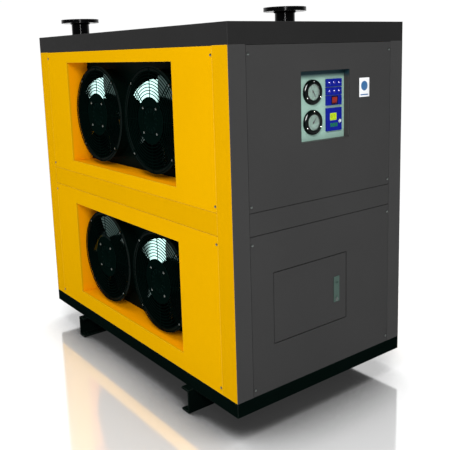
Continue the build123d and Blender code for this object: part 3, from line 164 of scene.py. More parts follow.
def finish(name, colour, rough=0.4, metal=0.0, spec=0.5, mottle=0.06, mottle_scale=3.5, grain=0.15,
           grain_scale=420.0, edge=None, edge_radius=0.0018, edge_share=0.7, inner=None, side=None,
           painted_shadow=None, coat=0.0, rough_spread=0.06, stretch=None, speck=None, glass=0.0, ior=1.5, glow=0.0):
    """Procedural finish: mottled colour, grained bump, uneven roughness, edges of another tone (patchy like
    wear; a paler tone is a painted highlight, a darker one painted shade in the seams), and specks.

    inner is painted bounce light: a more orange tone deeper in than the fan side's face, standing in for
    light bounced between the yellow recess walls. side is the tone of faces that don't face as the control
    side does, and the shadow
    argument paints a shadow: a dark band under a ledge, the heights where it is full and where it ends, and
    its tone.
    """
    material = bpy.data.materials.new(f"{name}_finish")
    material.use_nodes = True
    tree = material.node_tree
    link = tree.links.new
    shader = tree.nodes["Principled BSDF"]
    place = node(tree, "ShaderNodeTexCoord").outputs["Object"]
    fine_place = place
    if stretch is not None:
        mapping = node(tree, "ShaderNodeMapping", {"Scale": stretch})
        link(place, mapping.inputs["Vector"])
        fine_place = mapping.outputs["Vector"]
    broad = noise(tree, place, mottle_scale, 4.0)
    fine = noise(tree, fine_place, mottle_scale * FINE_SCALE, 5.0, 0.65)
    both = times(tree, times(tree, broad, BROAD_SHARE), times(tree, fine, 1 - BROAD_SHARE), "ADD")
    tone = node(tree, "ShaderNodeHueSaturation", {"Color": (*colour, 1.0)})
    link(spread(tree, both, 1 - mottle, 1 + mottle), tone.inputs["Value"])
    shown = tone.outputs["Color"]
    if speck is not None:
        speck_colour, speck_scale, speck_share = speck
        dots = spread(tree, noise(tree, place, speck_scale, 2.0), 0, 1, 1 - speck_share, 1.02 - speck_share)
        shown = blend(tree, dots, shown, speck_colour)
    # Edge tone: painted light on the rounded edges, a painted highlight where the tone is paler and painted
    # shade in the seams where it is darker, broken into patches like wear.
    if edge is not None:
        rounded = node(tree, "ShaderNodeBevel", {"Radius": edge_radius}, samples=4)
        surface = node(tree, "ShaderNodeNewGeometry")
        aligned = node(tree, "ShaderNodeVectorMath", operation="DOT_PRODUCT")
        link(rounded.outputs["Normal"], aligned.inputs[0])
        link(surface.outputs["Normal"], aligned.inputs[1])
        edge_light_and_wear = spread(tree, aligned.outputs["Value"], 0.0, edge_share, 0.995, 0.86)
        patchy = spread(tree, fine, 0.6, 1.0)
        shown = blend(tree, times(tree, edge_light_and_wear, patchy), shown, edge)
    # Painted bounce light: the paint turns to the inner tone deeper into the fan side's recesses, for light
    # bounced between their yellow walls.
    if inner is not None:
        x = coordinate(tree, place, "X")
        depth = spread(tree, x, 0, 1, FAN_FACE + PAINTED_BOUNCE_FROM, FAN_FACE + PAINTED_BOUNCE_TO)
        outside = spread(tree, x, 1, 0, 0.0, 0.1)
        shown = blend(tree, times(tree, depth, outside), shown, inner)
    if side is not None:
        facing = coordinate(tree, node(tree, "ShaderNodeTexCoord").outputs["Normal"], "Y")
        shown = blend(tree, spread(tree, facing, 0, 1, -0.8, -0.5), shown, side)
    # Painted shadow: a dark band below the recess's top ledge, where its shadow falls on the plate.
    if painted_shadow is not None:
        dark, clear, tint = painted_shadow
        shown = blend(tree, spread(tree, coordinate(tree, place, "Z"), 0, 1, clear, dark), shown, tint)
    link(shown, shader.inputs["Base Color"])
    smoothest = max(rough - rough_spread, 0.02)
    link(spread(tree, fine, smoothest, rough + rough_spread), shader.inputs["Roughness"])
    if grain > 0:
        bump = node(tree, "ShaderNodeBump", {"Strength": grain, "Distance": GRAIN_DEPTH})
        link(noise(tree, fine_place, grain_scale, 2.0), bump.inputs["Height"])
        link(bump.outputs["Normal"], shader.inputs["Normal"])
    values = {"Metallic": metal, "Specular IOR Level": spec, "Transmission Weight": glass, "IOR": ior,
              "Coat Weight": coat, "Coat Roughness": COAT_ROUGH}
    if glow > 0:
        values.update({"Emission Color": (*colour, 1.0), "Emission Strength": glow})
    for socket, value in values.items():
        shader.inputs[socket].default_value = value
    M[name] = material


# Painted shadow of the instrument recess's top ledge on the tray: where it is full, where it ends, and its
# tone.
TRAY_PAINTED_SHADOW = (1.328, 1.308, (0.012, 0.035, 0.045))
# Yellow: the inner tone is painted bounce light in the recesses, and the paler edge tone is a painted
# highlight.
finish("yellow_paint", (0.572, 0.298, 0.0003), 0.5, spec=0.0, mottle=0.03, grain=0.12,
       edge=(0.80, 0.50, 0.05), edge_radius=0.0028, edge_share=0.6, inner=(0.77, 0.285, 0.0003))
# Grey: its near-black edge tone is painted shade that darkens the seams and gaps.
finish("grey_paint", (0.0385, 0.0385, 0.0385), 0.55, spec=0.06, mottle=0.07, grain=0.2,
       edge=(0.004, 0.004, 0.004), edge_radius=0.003, edge_share=0.95)
finish("pillar_paint", (0.039, 0.039, 0.039), 0.5, spec=0.1, grain=0.2, edge=(0.12, 0.12, 0.12),
       edge_radius=0.002, edge_share=0.6)
finish("cover_paint", (0.017, 0.017, 0.017), 0.55, spec=0.03, mottle=0.07, grain=0.2,
       edge=(0.08, 0.08, 0.08), edge_radius=0.002)
# Black: its pale edge tone is a painted highlight along the base's edges.
finish("black_paint", (0.0012, 0.0035, 0.0028), 0.4, spec=0.0, mottle=0.2, grain=0.25,
       edge=(0.07, 0.09, 0.08), edge_radius=0.002, edge_share=0.5)
finish("recess_black", (0.0008, 0.0034, 0.0027), 0.4, spec=0.01, mottle=0.2, edge=(0.01, 0.03, 0.025),
       edge_radius=0.0015)
finish("flange_paint", (0.001, 0.0012, 0.0014), 0.16, spec=0.12, mottle=0.1, grain=0.12,
       edge=(0.06, 0.06, 0.06), edge_radius=0.0015)
finish("frame_zinc", (0.42, 0.43, 0.43), 0.42, metal=0.9, mottle=0.15, mottle_scale=22, grain=0.1,
       speck=((0.55, 0.56, 0.57), 160, 0.42))
finish("guard_wire", (0.0006, 0.003, 0.0024), 0.25, spec=0.0, mottle=0.2, grain=0.1,
       edge=(0.012, 0.03, 0.026), edge_radius=0.001)
finish("motor_black", (0.0006, 0.003, 0.0024), 0.32, spec=0.0, mottle=0.2, grain=0.35, grain_scale=900,
       edge=(0.012, 0.03, 0.026), edge_radius=0.001)
finish("fan_blade", (0.06, 0.095, 0.088), 0.14, metal=1.0, mottle=0.12, mottle_scale=9, grain=0.05,
       rough_spread=0.03, stretch=(1, 8, 1), edge=(0.2, 0.24, 0.23), edge_radius=0.001)
finish("fin_aluminium", (0.05, 0.06, 0.058), 0.3, metal=0.9, mottle=0.2, mottle_scale=14, grain=0.1,
       rough_spread=0.1)
finish("screw_steel", (0.75, 0.76, 0.74), 0.18, metal=1.0, mottle=0.08, mottle_scale=60, grain=0.08,
       grain_scale=1500)
finish("tray_paint", (0.30, 0.47, 0.40), 0.45, spec=0.1, side=(0.052, 0.048, 0.048), painted_shadow=TRAY_PAINTED_SHADOW,
       mottle=0.04, grain=0.12, edge=(0.5, 0.6, 0.56), edge_radius=0.0012)
finish("gauge_black", (0.0012, 0.003, 0.0025), 0.1, spec=0.09, mottle=0.1, grain=0.04,
       edge=(0.01, 0.016, 0.015), edge_radius=0.0008)
finish("dial_face", (0.42, 0.62, 0.53), 0.4, spec=0.1, mottle=0.03, mottle_scale=30, grain=0.04)
finish("dial_ink", (0.015, 0.015, 0.018), 0.5, mottle=0.15, mottle_scale=120, grain=0.05)
finish("gauge_glass", (0.97, 0.985, 0.98), 0.03, glass=1.0, ior=1.45, mottle=0.01, grain=0.01,
       rough_spread=0.02)
finish("needle_black", (0.01, 0.01, 0.01), 0.35, mottle=0.2, mottle_scale=90, grain=0.05)
finish("module_blue", (0.002, 0.008, 0.24), 0.3, spec=0.06, mottle_scale=20, grain=0.18, grain_scale=1400,
       edge=(0.1, 0.16, 0.62), edge_radius=0.0012)
finish("lens_clear", (0.05, 0.03, 0.3), 0.1, mottle=0.1, mottle_scale=90, grain=0.05, coat=0.8)
finish("rocker_red", (0.25, 0.014, 0.008), 0.25, spec=0.15, mottle_scale=50, grain=0.08, grain_scale=1400,
       edge=(0.4, 0.05, 0.04), edge_radius=0.001)
finish("display_green", (0.38, 0.52, 0.004), 0.2, spec=0.1, mottle=0.08, mottle_scale=40, grain=0.03,
       glow=0.2)
finish("display_ink", (0.01, 0.03, 0.01), 0.3, mottle=0.1, grain=0.03)
finish("key_green", (0.005, 0.13, 0.07), 0.35, spec=0.1, mottle_scale=60, grain_scale=1400,
       edge=(0.03, 0.3, 0.2), edge_radius=0.001)
finish("button_white", (0.5, 0.62, 0.68), 0.3, mottle=0.04, mottle_scale=60, grain=0.08, grain_scale=1400,
       edge=(0.9, 0.9, 0.9), edge_radius=0.001)
finish("latch_grey", (0.052, 0.088, 0.074), 0.4, spec=0.1, mottle=0.08, mottle_scale=20, grain=0.3,
       grain_scale=900, edge=(0.1, 0.16, 0.14), edge_radius=0.0012)
finish("screw_dull", (0.2, 0.225, 0.215), 0.3, metal=1.0, mottle=0.08, mottle_scale=60, grain=0.08,
       grain_scale=1500)
finish("lock_dull", (0.14, 0.17, 0.16), 0.25, metal=1.0, mottle_scale=90, grain=0.04)
finish("lock_chrome", (0.72, 0.72, 0.72), 0.12, metal=1.0, mottle_scale=90, grain=0.04)
finish("compressor_paint", (0.006, 0.006, 0.007), 0.3, mottle=0.15, grain=0.3, edge=(0.08, 0.08, 0.08))
finish("mount_rubber", (0.012, 0.012, 0.012), 0.7, spec=0.3, mottle=0.15, mottle_scale=30, grain=0.4,
       grain_scale=900)
finish("receiver_paint", (0.008, 0.008, 0.009), 0.35, mottle=0.15, grain=0.25, edge=(0.08, 0.08, 0.08))
finish("line_copper", (0.62, 0.25, 0.13), 0.25, metal=1.0, mottle=0.14, mottle_scale=12, grain=0.08)
finish("insulation_foam", (0.016, 0.016, 0.017), 0.85, spec=0.2, mottle=0.15, mottle_scale=12, grain=0.6,
       grain_scale=350)
finish("vessel_steel", (0.09, 0.1, 0.11), 0.4, mottle=0.12, grain=0.25, edge=(0.25, 0.25, 0.25))
finish("fitting_brass", (0.6, 0.42, 0.16), 0.3, metal=1.0, mottle=0.12, mottle_scale=30, grain=0.08,
       edge=(0.85, 0.68, 0.36), edge_radius=0.0012)
finish("pipe_steel", (0.001, 0.0012, 0.0014), 0.12, spec=0.12, mottle=0.12, edge=(0.1, 0.1, 0.1),
       edge_radius=0.0012)
finish("box_paint", (0.3, 0.31, 0.3), 0.45, mottle=0.05, grain=0.2, edge=(0.5, 0.5, 0.5))
finish("switchgear_plastic", (0.55, 0.56, 0.55), 0.45, mottle=0.05, mottle_scale=14, grain=0.25,
       grain_scale=1100, edge=(0.75, 0.75, 0.75), edge_radius=0.001)
finish("label_white", (0.82, 0.83, 0.85), 0.4, mottle=0.02, mottle_scale=30, grain=0.05)
finish("label_blue", (0.02, 0.12, 0.3), 0.4, mottle_scale=60, grain=0.05)


# Mesh building

class Shape:
    """Vertices and faces gathered for one piece; each face keeps the number of its material."""

    def __init__(self):
        self.verts = []
        self.faces = []
        self.numbers = []

    def add(self, verts, faces, number=0, at=None):
        start = len(self.verts)
        at = at or Matrix.Identity(4)
        self.verts += [at @ Vector(vert) for vert in verts]
        self.faces += [[start + index for index in face] for face in faces]
        self.numbers += [number] * len(faces)

    def lathe(self, profile, steps=64, number=0, at=None, closed=True):
        """Profile of (radius, z) points turned about local z; closed joins its last point to its first."""
        count = len(profile)
        verts = []
        for step in range(steps):
            turn = 2 * math.pi * step / steps
            verts += [(r * math.cos(turn), r * math.sin(turn), z) for r, z in profile]
        faces = []
        for step in range(steps):
            after = (step + 1) % steps
            for point in range(count if closed else count - 1):
                beside = (point + 1) % count
                faces.append([step * count + point, after * count + point,
                              after * count + beside, step * count + beside])
        self.add(verts, faces, number, at)

    def tube(self, points, radius, sides=8, number=0, at=None, closed=False):
        """Round wire along points, with its ends capped unless it is closed."""
        points = [Vector(point) for point in points]
        count = len(points)
        verts = []
        normal = None
        for index, point in enumerate(points):
            before = points[index - 1] if index or closed else point
            after = points[(index + 1) % count] if index < count - 1 or closed else point
            along = (after - before).normalized()
            if normal is None:
                normal = along.orthogonal().normalized()
            normal = (normal - along * normal.dot(along)).normalized()
            binormal = along.cross(normal)
            for side in range(sides):
                turn = 2 * math.pi * side / sides
                verts.append(point + radius * (math.cos(turn) * normal + math.sin(turn) * binormal))
        faces = []
        for ring in range(count if closed else count - 1):
            after = (ring + 1) % count
            for side in range(sides):
                beside = (side + 1) % sides
                faces.append([ring * sides + side, ring * sides + beside,
                              after * sides + beside, after * sides + side])
        if not closed:
            faces.append(list(range(sides))[::-1])
            faces.append([(count - 1) * sides + side for side in range(sides)])
        self.add(verts, faces, number, at)

    def slab(self, low, high, bevel=0.0008, number=0, at=None):
        """Box between two corners with rounded edges."""
        mesh = bmesh.new()
        bmesh.ops.create_cube(mesh, size=1.0)
        low, high = Vector(low), Vector(high)
        size = high - low
        middle = (low + high) / 2
        for vert in mesh.verts:
            vert.co = Vector([vert.co[axis] * size[axis] + middle[axis] for axis in range(3)])
        if bevel > 0:
            limit = min(bevel, 0.45 * min(size))
            bmesh.ops.bevel(mesh, geom=mesh.edges[:], offset=limit, segments=2, profile=0.5,
                            affect="EDGES")
        mesh.verts.index_update()
        verts = [vert.co.copy() for vert in mesh.verts]
        faces = [[vert.index for vert in face.verts] for face in mesh.faces]
        mesh.free()
        self.add(verts, faces, number, at)

    def mesh(self, name, materials, crease=34.0):
        made = bpy.data.meshes.new(name)
        made.from_pydata([tuple(vert) for vert in self.verts], [], self.faces)
        for material in materials:
            made.materials.append(M[material])
        made.polygons.foreach_set("material_index", self.numbers)
        made.polygons.foreach_set("use_smooth", [True] * len(self.faces))
        made.validate()
        clean = bmesh.new()
        clean.from_mesh(made)
        bmesh.ops.recalc_face_normals(clean, faces=clean.faces)
        clean.to_mesh(made)
        clean.free()
        made.set_sharp_from_angle(angle=math.radians(crease))
        return made


def sheet_faces(rows, columns):
    """Front and back faces of a sheet whose points lie in rows, all front points before the back ones."""
    width = columns + 1
    count = (rows + 1) * width
    faces = []
    for row in range(rows):
        for column in range(columns):
            a = row * width + column
            faces.append([a, a + 1, a + width + 1, a + width])
            faces.append([count + a, count + a + width, count + a + width + 1, count + a + 1])
    return faces


def place(name, mesh, body, matrix=None, replaces=(), slot=None):
    made = add_object(name, mesh)
    if matrix is not None:
        made.matrix_world = matrix
    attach(made, body)
    if replaces:
        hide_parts(*replaces)
    return made


def fix(name, shape, materials, slot=None, replaces=(), crease=34.0):
    """Piece of the cabinet whose shape is already where it belongs."""
    return place(name, shape.mesh(name, materials, crease), "cabinet", None, replaces, slot)


def axes(origin, x, y, z):
    return Matrix.Translation(origin) @ Matrix((x, y, z)).transposed().to_4x4()


def arc(radius, start, end, steps, z=0.0):
    turns = [math.radians(start + (end - start) * step / steps) for step in range(steps + 1)]
    return [(radius * math.cos(turn), radius * math.sin(turn), z) for turn in turns]


def circle(radius, steps, z=0.0):
    return arc(radius, 0, 360 - 360 / steps, steps - 1, z)


def spin(degrees):
    return Matrix.Rotation(math.radians(degrees), 4, "Z")


# Finishes on the CAD nodes that stay, and rounded edges on those of folded sheet

SAME_POINT = 0.00001
SAME_PLANE = 0.3
SHARP_EDGE = 40
EDGE_WIDTH = 0.0008
SHEET_NODES = {
    "cover_paint": ["top_cover"],
    "yellow_paint": ["side_pillars", "side_mid_strips", "fan_side_upper_panel", "fan_side_lower_panel",
                     "intake_panels"],
    "pillar_paint": ["end_pillars"],
    "grey_paint": ["end_mid_strips", "control_upper_panel", "control_lower_panel", "rear_panels",
                   "access_door"],
    "black_paint": ["base_frame", "front_skid", "rear_skid"], "frame_zinc": ["cabinet_frame"],
    "tray_paint": ["instrument_tray"], "box_paint": ["electrical_box"], "recess_black": ["fan_plates"],
}
SOLID_NODES = {
    "frame_zinc": ["door_hinges"], "latch_grey": ["latch_plate", "latch_handle"],
    "lock_dull": ["latch_lock"],
    "module_blue": ["indicator_housings", "switch_housing", "controller_housing"],
    "display_green": ["controller_display"], "rocker_red": ["rocker_switch"],
    "key_green": ["controller_key_left", "controller_key_middle", "controller_key_right"],
    "button_white": ["start_button"], "compressor_paint": ["compressor"],
    "mount_rubber": ["compressor_mounts", "cable_grommet"], "receiver_paint": ["liquid_receiver"],
    "line_copper": ["refrigerant_lines"], "fitting_brass": ["liquid_line_fittings", "drain_valve"],
    "insulation_foam": ["heat_exchanger"], "vessel_steel": ["moisture_separator"],
    "pipe_steel": ["drain_line", "inlet_pipe", "outlet_pipe"], "flange_paint": ["pipe_flanges"],
    "switchgear_plastic": ["switchgear"], "gauge_glass": ["gauge_glasses"],
}


def round_edges(piece):
    """Modifiers that join faces in one plane and round the edges between the others."""
    set_all(piece.modifiers.new("weld", "WELD"), merge_threshold=SAME_POINT)
    set_all(piece.modifiers.new("merge", "DECIMATE"), decimate_type="DISSOLVE",
            angle_limit=math.radians(SAME_PLANE))
    set_all(piece.modifiers.new("edges", "BEVEL"), width=EDGE_WIDTH, segments=2, limit_method="ANGLE",
            angle_limit=math.radians(SHARP_EDGE), harden_normals=False, use_clamp_overlap=True,
            face_strength_mode="FSTR_ALL")
    set_all(piece.modifiers.new("normals", "WEIGHTED_NORMAL"), keep_sharp=False, use_face_influence=True,
            weight=60)


for nodes, sheet in ((SHEET_NODES, True), (SOLID_NODES, False)):
    for material, names in nodes.items():
        for name in names:
            NODES[name].data.materials.clear()
            NODES[name].data.materials.append(M[material])
            if sheet:
                round_edges(NODES[name])


# Fans

GUARD_FRONT = 0.033
SHROUD_FRONT = 0.0415
WIRE = 0.0019
GUARD_RADIUS = 0.216
GUARD_RINGS = 9
HUB = 0.098
DIAGONALS = (45, 135, 225, 315)


def fan_axes(fan):
    centre = Vector(JOINTS[f"{fan}_fan_spin"]["pos_m"])
    origin = Vector((FAN_FACE + GUARD_FRONT, centre.y, centre.z))
    return axes(origin, (0, -1, 0), (0, 0, 1), (-1, 0, 0))


def guard_mesh():
    """Welded wire guard: rings on radial wires that turn back as legs, feet and a pressed centre ring."""
    shape = Shape()
    pitch = (GUARD_RADIUS - HUB) / GUARD_RINGS
    for ring in range(GUARD_RINGS):
        shape.tube(circle(HUB + (ring + 1) * pitch, 96, -WIRE), WIRE, 8, closed=True)
    back = GUARD_FRONT - SHROUD_FRONT
    bend = 0.0035
    level = -3 * WIRE + 0.0006
    for turn, offset in [(a, 0) for a in (0, 90, 180, 270)] + [(a, o) for a in DIAGONALS for o in (-1, 1)]:
        side = 0.008 * offset
        out = GUARD_RADIUS - 0.001
        path = [(HUB - 0.006, side, level), (out - bend, side, level)]
        for step in range(1, 5):
            angle = math.radians(90 - 90 * step / 4)
            path.append((out - bend + bend * math.cos(angle), side, level - bend + bend * math.sin(angle)))
        path.append((out, side, back + 0.0004))
        shape.tube(path, WIRE, 8, at=spin(turn))
    plate = [(0.0585, -0.0006), (0.0595, 0.0), (0.0655, 0.0), (0.0675, -0.0009), (0.0900, -0.0009),
             (0.0960, -0.0004), (0.0980, -0.0012), (0.0980, -0.0024), (0.0970, -0.003), (0.0585, -0.003),
             (0.058, -0.0016)]
    shape.lathe(plate, 96)
    for turn in DIAGONALS:
        shape.slab((0.2045, -0.011, back), (0.2215, 0.011, back + 0.002), 0.0008, at=spin(turn))
    return shape.mesh("guard", ["guard_wire"], 50)


def motor_mesh():
    """External-rotor motor: screwed front flange with ribs, core and end cap."""
    shape = Shape()
    flange = [(0.0, -0.0018), (0.030, -0.0018), (0.032, -0.0008), (0.0520, -0.0008), (0.0545, -0.0026),
              (0.0560, -0.0032), (0.0810, -0.0032), (0.0838, -0.0045), (0.0840, -0.0095), (0.0820, -0.011),
              (0.0580, -0.011), (0.0580, -0.0780), (0.0550, -0.079), (0.0, -0.079)]
    shape.lathe(flange, 96, closed=False)
    for turn in range(0, 360, 30):
        shape.slab((0.0335, -0.0014, -0.0032), (0.0515, 0.0014, 0.0002), 0.0005, at=spin(turn + 15))
    for turn in range(0, 360, 15):
        shape.slab((0.0570, -0.0014, -0.0240), (0.0610, 0.0014, -0.0115), 0.0004, at=spin(turn))
    return shape.mesh("motor", ["motor_black"])


BLADES = 5
BLADE_STARTS = {"upper_front": 120.0, "upper_rear": 120.0, "lower_front": 120.0, "lower_rear": 156.0}
ROOT = 0.064
ROOT_HALF = 24.0
LOW_SIDE = (0.116, -30.0)
LOW_CORNER = (0.162, -24.0)
CROWN = (0.190, 10.0)
HIGH_CORNER = (0.194, 30.0)
HIGH_SIDE = (0.125, 32.0)
PITCH = math.radians(22.0)
TWIST = (2.0, -3.0)
CAMBER = 0.0018
SHEET_HALF = 0.001
ROTOR = (0.062, 0.122)
BLADE_LEVEL = GUARD_FRONT - 0.088


def polar(radius, degrees):
    return Vector((radius * math.cos(math.radians(degrees)), radius * math.sin(math.radians(degrees))))


def through_three(first, middle, last, share):
    """Point on the arc from first through middle to last."""
    a, b, c = first, middle, last
    spread_of = 2 * (a.x * (b.y - c.y) + b.x * (c.y - a.y) + c.x * (a.y - b.y))
    squares = [point.length_squared for point in (a, b, c)]
    x = (squares[0] * (b.y - c.y) + squares[1] * (c.y - a.y) + squares[2] * (a.y - b.y)) / spread_of
    y = (squares[0] * (c.x - b.x) + squares[1] * (a.x - c.x) + squares[2] * (b.x - a.x)) / spread_of
    hub = Vector((x, y))
    turn = (a - hub).angle_signed(c - hub)
    half = (a - hub).angle_signed(b - hub)
    if half * turn < 0 or abs(half) > abs(turn):
        turn -= math.copysign(2 * math.pi, turn)
    arm = a - hub
    angle = -turn * share
    return hub + Vector((arm.x * math.cos(angle) - arm.y * math.sin(angle),
                         arm.x * math.sin(angle) + arm.y * math.cos(angle)))


def blade(shape, turn):
    """Pitched, slightly cambered and twisted sheet blade with its raked tip."""
    rows, columns = 18, 14
    root_low, root_high = polar(ROOT, -ROOT_HALF), polar(ROOT, ROOT_HALF)
    tip_low, tip_high = polar(*LOW_CORNER), polar(*HIGH_CORNER)
    front, back = [], []
    for row in range(rows + 1):
        t = row / rows
        low = through_three(root_low, polar(*LOW_SIDE), tip_low, t)
        high = through_three(root_high, polar(*HIGH_SIDE), tip_high, t)
        for column in range(columns + 1):
            s = column / columns
            inner = through_three(root_low, polar(ROOT, 0), root_high, s)
            outer = through_three(tip_low, polar(*CROWN), tip_high, s)
            straight = (root_low.lerp(root_high, s)).lerp(tip_low.lerp(tip_high, s), t)
            flat = low.lerp(high, s) + inner.lerp(outer, t) - straight
            pitch = PITCH + math.radians(TWIST[0] + (TWIST[1] - TWIST[0]) * t)
            normal = Vector((0, -math.sin(pitch), math.cos(pitch)))
            point = Vector((flat.x, flat.y * math.cos(pitch), BLADE_LEVEL + flat.y * math.sin(pitch)))
            point += normal * CAMBER * 4 * s * (1 - s)
            front.append(point + normal * SHEET_HALF)
            back.append(point - normal * SHEET_HALF)
    count = len(front)
    width = columns + 1
    faces = sheet_faces(rows, columns)
    rim = list(range(width))
    rim += [row * width + columns for row in range(1, rows + 1)]
    rim += [rows * width + column for column in range(columns - 1, -1, -1)]
    rim += [row * width for row in range(rows - 1, 0, -1)]
    for index, a in enumerate(rim):
        b = rim[(index + 1) % len(rim)]
        faces.append([a, a + count, b + count, b])
    shape.add(front + back, faces, 0, turn)


def impeller_mesh(start):
    """Rotor cup with cooling ribs, its blades and their welded root brackets."""
    shape = Shape()
    front, back = GUARD_FRONT - ROTOR[0], GUARD_FRONT - ROTOR[1]
    cup = [(0.0625, front - 0.0005), (0.0680, front), (0.0700, front - 0.0025), (0.0700, back + 0.005),
           (0.0650, back), (0.006, back), (0.006, back + 0.004), (0.0620, back + 0.005),
           (0.0620, front - 0.002)]
    shape.lathe(cup, 96, 1)
    for turn in range(0, 360, 12):
        shape.slab((0.0695, -0.001, front - 0.016), (0.0710, 0.001, front - 0.004), 0.0003, 1, spin(turn))
    for number in range(BLADES):
        turn = spin(start + 360 * number / BLADES)
        blade(shape, turn)
        shape.slab((0.0665, -0.0165, -0.0595), (0.0730, 0.0165, -0.0500), 0.001, 1, turn)
    return shape.mesh("impeller", ["fan_blade", "motor_black"], 40)


guard = guard_mesh()
motor = motor_mesh()
wheels = {}
for index, fan in enumerate(FAN_NAMES):
    where = fan_axes(fan)
    first = index == 0
    wires = place(f"guard_{fan}", guard, "cabinet", where, ["fan_guards"] if first else (), "guard_wire")
    wires.visible_glossy = False
    place(f"motor_{fan}", motor, "cabinet", where, ["fan_motors"] if first else (), "motor_black")
    start = BLADE_STARTS[fan]
    if start not in wheels:
        wheels[start] = impeller_mesh(start)
    place(f"impeller_{fan}", wheels[start], f"{fan}_rotor", where, [f"{fan}_impeller"], "fan_blade")


# Screws

def pan_head(shape, at, radius=0.005, height=0.0025):
    """Domed head with a cross recess, its seat at local z = 0, on a short shank."""
    steps = 24
    flat = radius * 0.42
    dome = [(radius, 0.0), (radius, height * 0.35)]
    for step in range(1, 5):
        turn = math.radians(90 * step / 5)
        dome.append((radius * (0.42 + 0.58 * math.cos(turn)), height * (0.35 + 0.65 * math.sin(turn))))
    dome.append((flat, height))
    shape.lathe(dome, steps, 0, at, closed=False)
    deep = height * 0.35
    arm, half = radius * 0.4, radius * 0.09
    cross = [(arm, half), (half, half), (half, arm), (-half, arm), (-half, half), (-arm, half),
             (-arm, -half), (-half, -half), (-half, -arm), (half, -arm), (half, -half), (arm, -half)]
    turns = [2 * math.pi * k / steps for k in range(steps)]
    ring = [(flat * math.cos(turn), flat * math.sin(turn), height) for turn in turns]
    bearings = [math.atan2(y, x) for x, y in cross]
    order = []
    for turn in turns:
        gaps = [abs(math.remainder(bearing - turn, 2 * math.pi)) for bearing in bearings]
        order.append(gaps.index(min(gaps)))
    verts = ring + [(x, y, height) for x, y in cross] + [(x, y, deep) for x, y in cross]
    faces = []
    for k in range(steps):
        after = (k + 1) % steps
        face = [k, after, steps + order[after]]
        if order[k] != order[after]:
            face.append(steps + order[k])
        faces.append(face)
    for c in range(12):
        d = (c + 1) % 12
        faces.append([steps + c, steps + d, steps + 12 + d, steps + 12 + c])
    faces.append([steps + 12 + c for c in range(12)])
    shape.add(verts, faces, 0, at)
    shape.lathe([(0.0025, 0.0), (0.0025, -0.006), (0.0, -0.006)], 12, 0, at, closed=False)


OUTWARD = {"fan": (-1, 0, 0), "control": (0, -1, 0), "intake": (1, 0, 0), "rear": (0, 1, 0)}
LONG_SIDES = ("fan", "intake")
HALF_X = -FAN_FACE
HALF_Y = -CONTROL_FACE


def on_side(side, u, z):
    nx, ny, _ = OUTWARD[side]
    origin = (nx * HALF_X, u, z) if side in LONG_SIDES else (u, ny * HALF_Y, z)
    return axes(Vector(origin), (-ny, nx, 0), (0, 0, 1), OUTWARD[side])


SCREW_LEVELS = (1.411, 0.878, 0.738, 0.183)
LONG_REACH, SHORT_REACH = 0.702, 0.367
screws = Shape()
twist = 17.0
for side in OUTWARD:
    reach = LONG_REACH if side in LONG_SIDES else SHORT_REACH
    for sign in (-1, 1):
        for level in SCREW_LEVELS:
            twist += 37.0
            pan_head(screws, on_side(side, sign * reach, level) @ spin(twist))
for fan in FAN_NAMES:
    for turn in DIAGONALS:
        twist += 37.0
        seat = GUARD_FRONT - SHROUD_FRONT + 0.002
        foot = Matrix.Translation((*arc(0.2105, turn, turn, 1)[0][:2], seat))
        hub = Matrix.Translation((*arc(0.072, turn, turn, 1)[0][:2], -0.0009))
        pan_head(screws, fan_axes(fan) @ foot @ spin(twist), 0.0060, 0.0032)
        pan_head(screws, fan_axes(fan) @ hub @ spin(twist), 0.0055, 0.0030)
fix("screws", screws, ["screw_dull"], "screw_steel", ["pan_head_screws"])


# Condensers: plate fins on hairpin tubes between end plates

FIN_PITCH, FIN_THICK = 0.0035, 0.0005
TUBE_PITCH, TUBE_RADIUS = 0.05, 0.0045


def condenser(z_low, z_high):
    shape = Shape()
    near, far = FAN_FACE + 0.152, FAN_FACE + 0.188
    low_y, high_y = -0.575, 0.575
    bottom, top = z_low + 0.003, z_high - 0.003
    for number in range(int((high_y - low_y - 0.008) / FIN_PITCH)):
        y = low_y + 0.004 + number * FIN_PITCH
        corners = [(near, y, bottom), (far, y, bottom), (far, y, top), (near, y, top)]
        verts = corners + [(x, y + FIN_THICK, z) for x, y, z in corners]
        faces = [[0, 1, 2, 3], [7, 6, 5, 4]] + [[i, (i + 1) % 4, (i + 1) % 4 + 4, i + 4] for i in range(4)]
        shape.add(verts, faces)
    rim = (near - 0.012, far + 0.012)
    for low, high in ((z_low, z_low + 0.002), (z_high - 0.002, z_high)):
        shape.slab((rim[0], low_y, low), (rim[1], high_y, high), 0.0005, 1)
    for low, high in ((low_y, low_y + 0.002), (high_y - 0.002, high_y)):
        shape.slab((rim[0], low, z_low), (rim[1], high, z_high), 0.0005, 1)
    half = 0.009
    for number in range(int((z_high - z_low - TUBE_PITCH) / TUBE_PITCH)):
        z = z_low + 0.035 + number * TUBE_PITCH
        for x in (near + half, far - half):
            shape.tube([(x, low_y - 0.004, z), (x, high_y + 0.004, z)], TUBE_RADIUS, 8, 2)
        for y, out in ((low_y, -1), (high_y, 1)):
            turned = arc(half, 0, 180, 8)
            bend = [(near + 2 * half - x, y + out * (0.004 + reach), z) for x, reach, _ in turned]
            shape.tube(bend, TUBE_RADIUS, 8, 2)
    return shape


for row, span in {"upper": (0.880, 1.390), "lower": (0.200, 0.745)}.items():
    fix(f"condenser_{row}", condenser(*span), ["fin_aluminium", "frame_zinc", "line_copper"],
        "fin_aluminium", ["condensers"] if row == "upper" else ())


# Louvre hoods over the intake slots

HOOD_HALF, HOOD_RISE, HOOD_PROUD, HOOD_SHEET = 0.180, 0.009, 0.008, 0.0012
HOOD_PITCH = 0.027
HOOD_COLUMNS = (-0.430, 0.0, 0.430)
PANEL_SPANS = ((0.85575, 1.4415), (0.157, 0.76825))


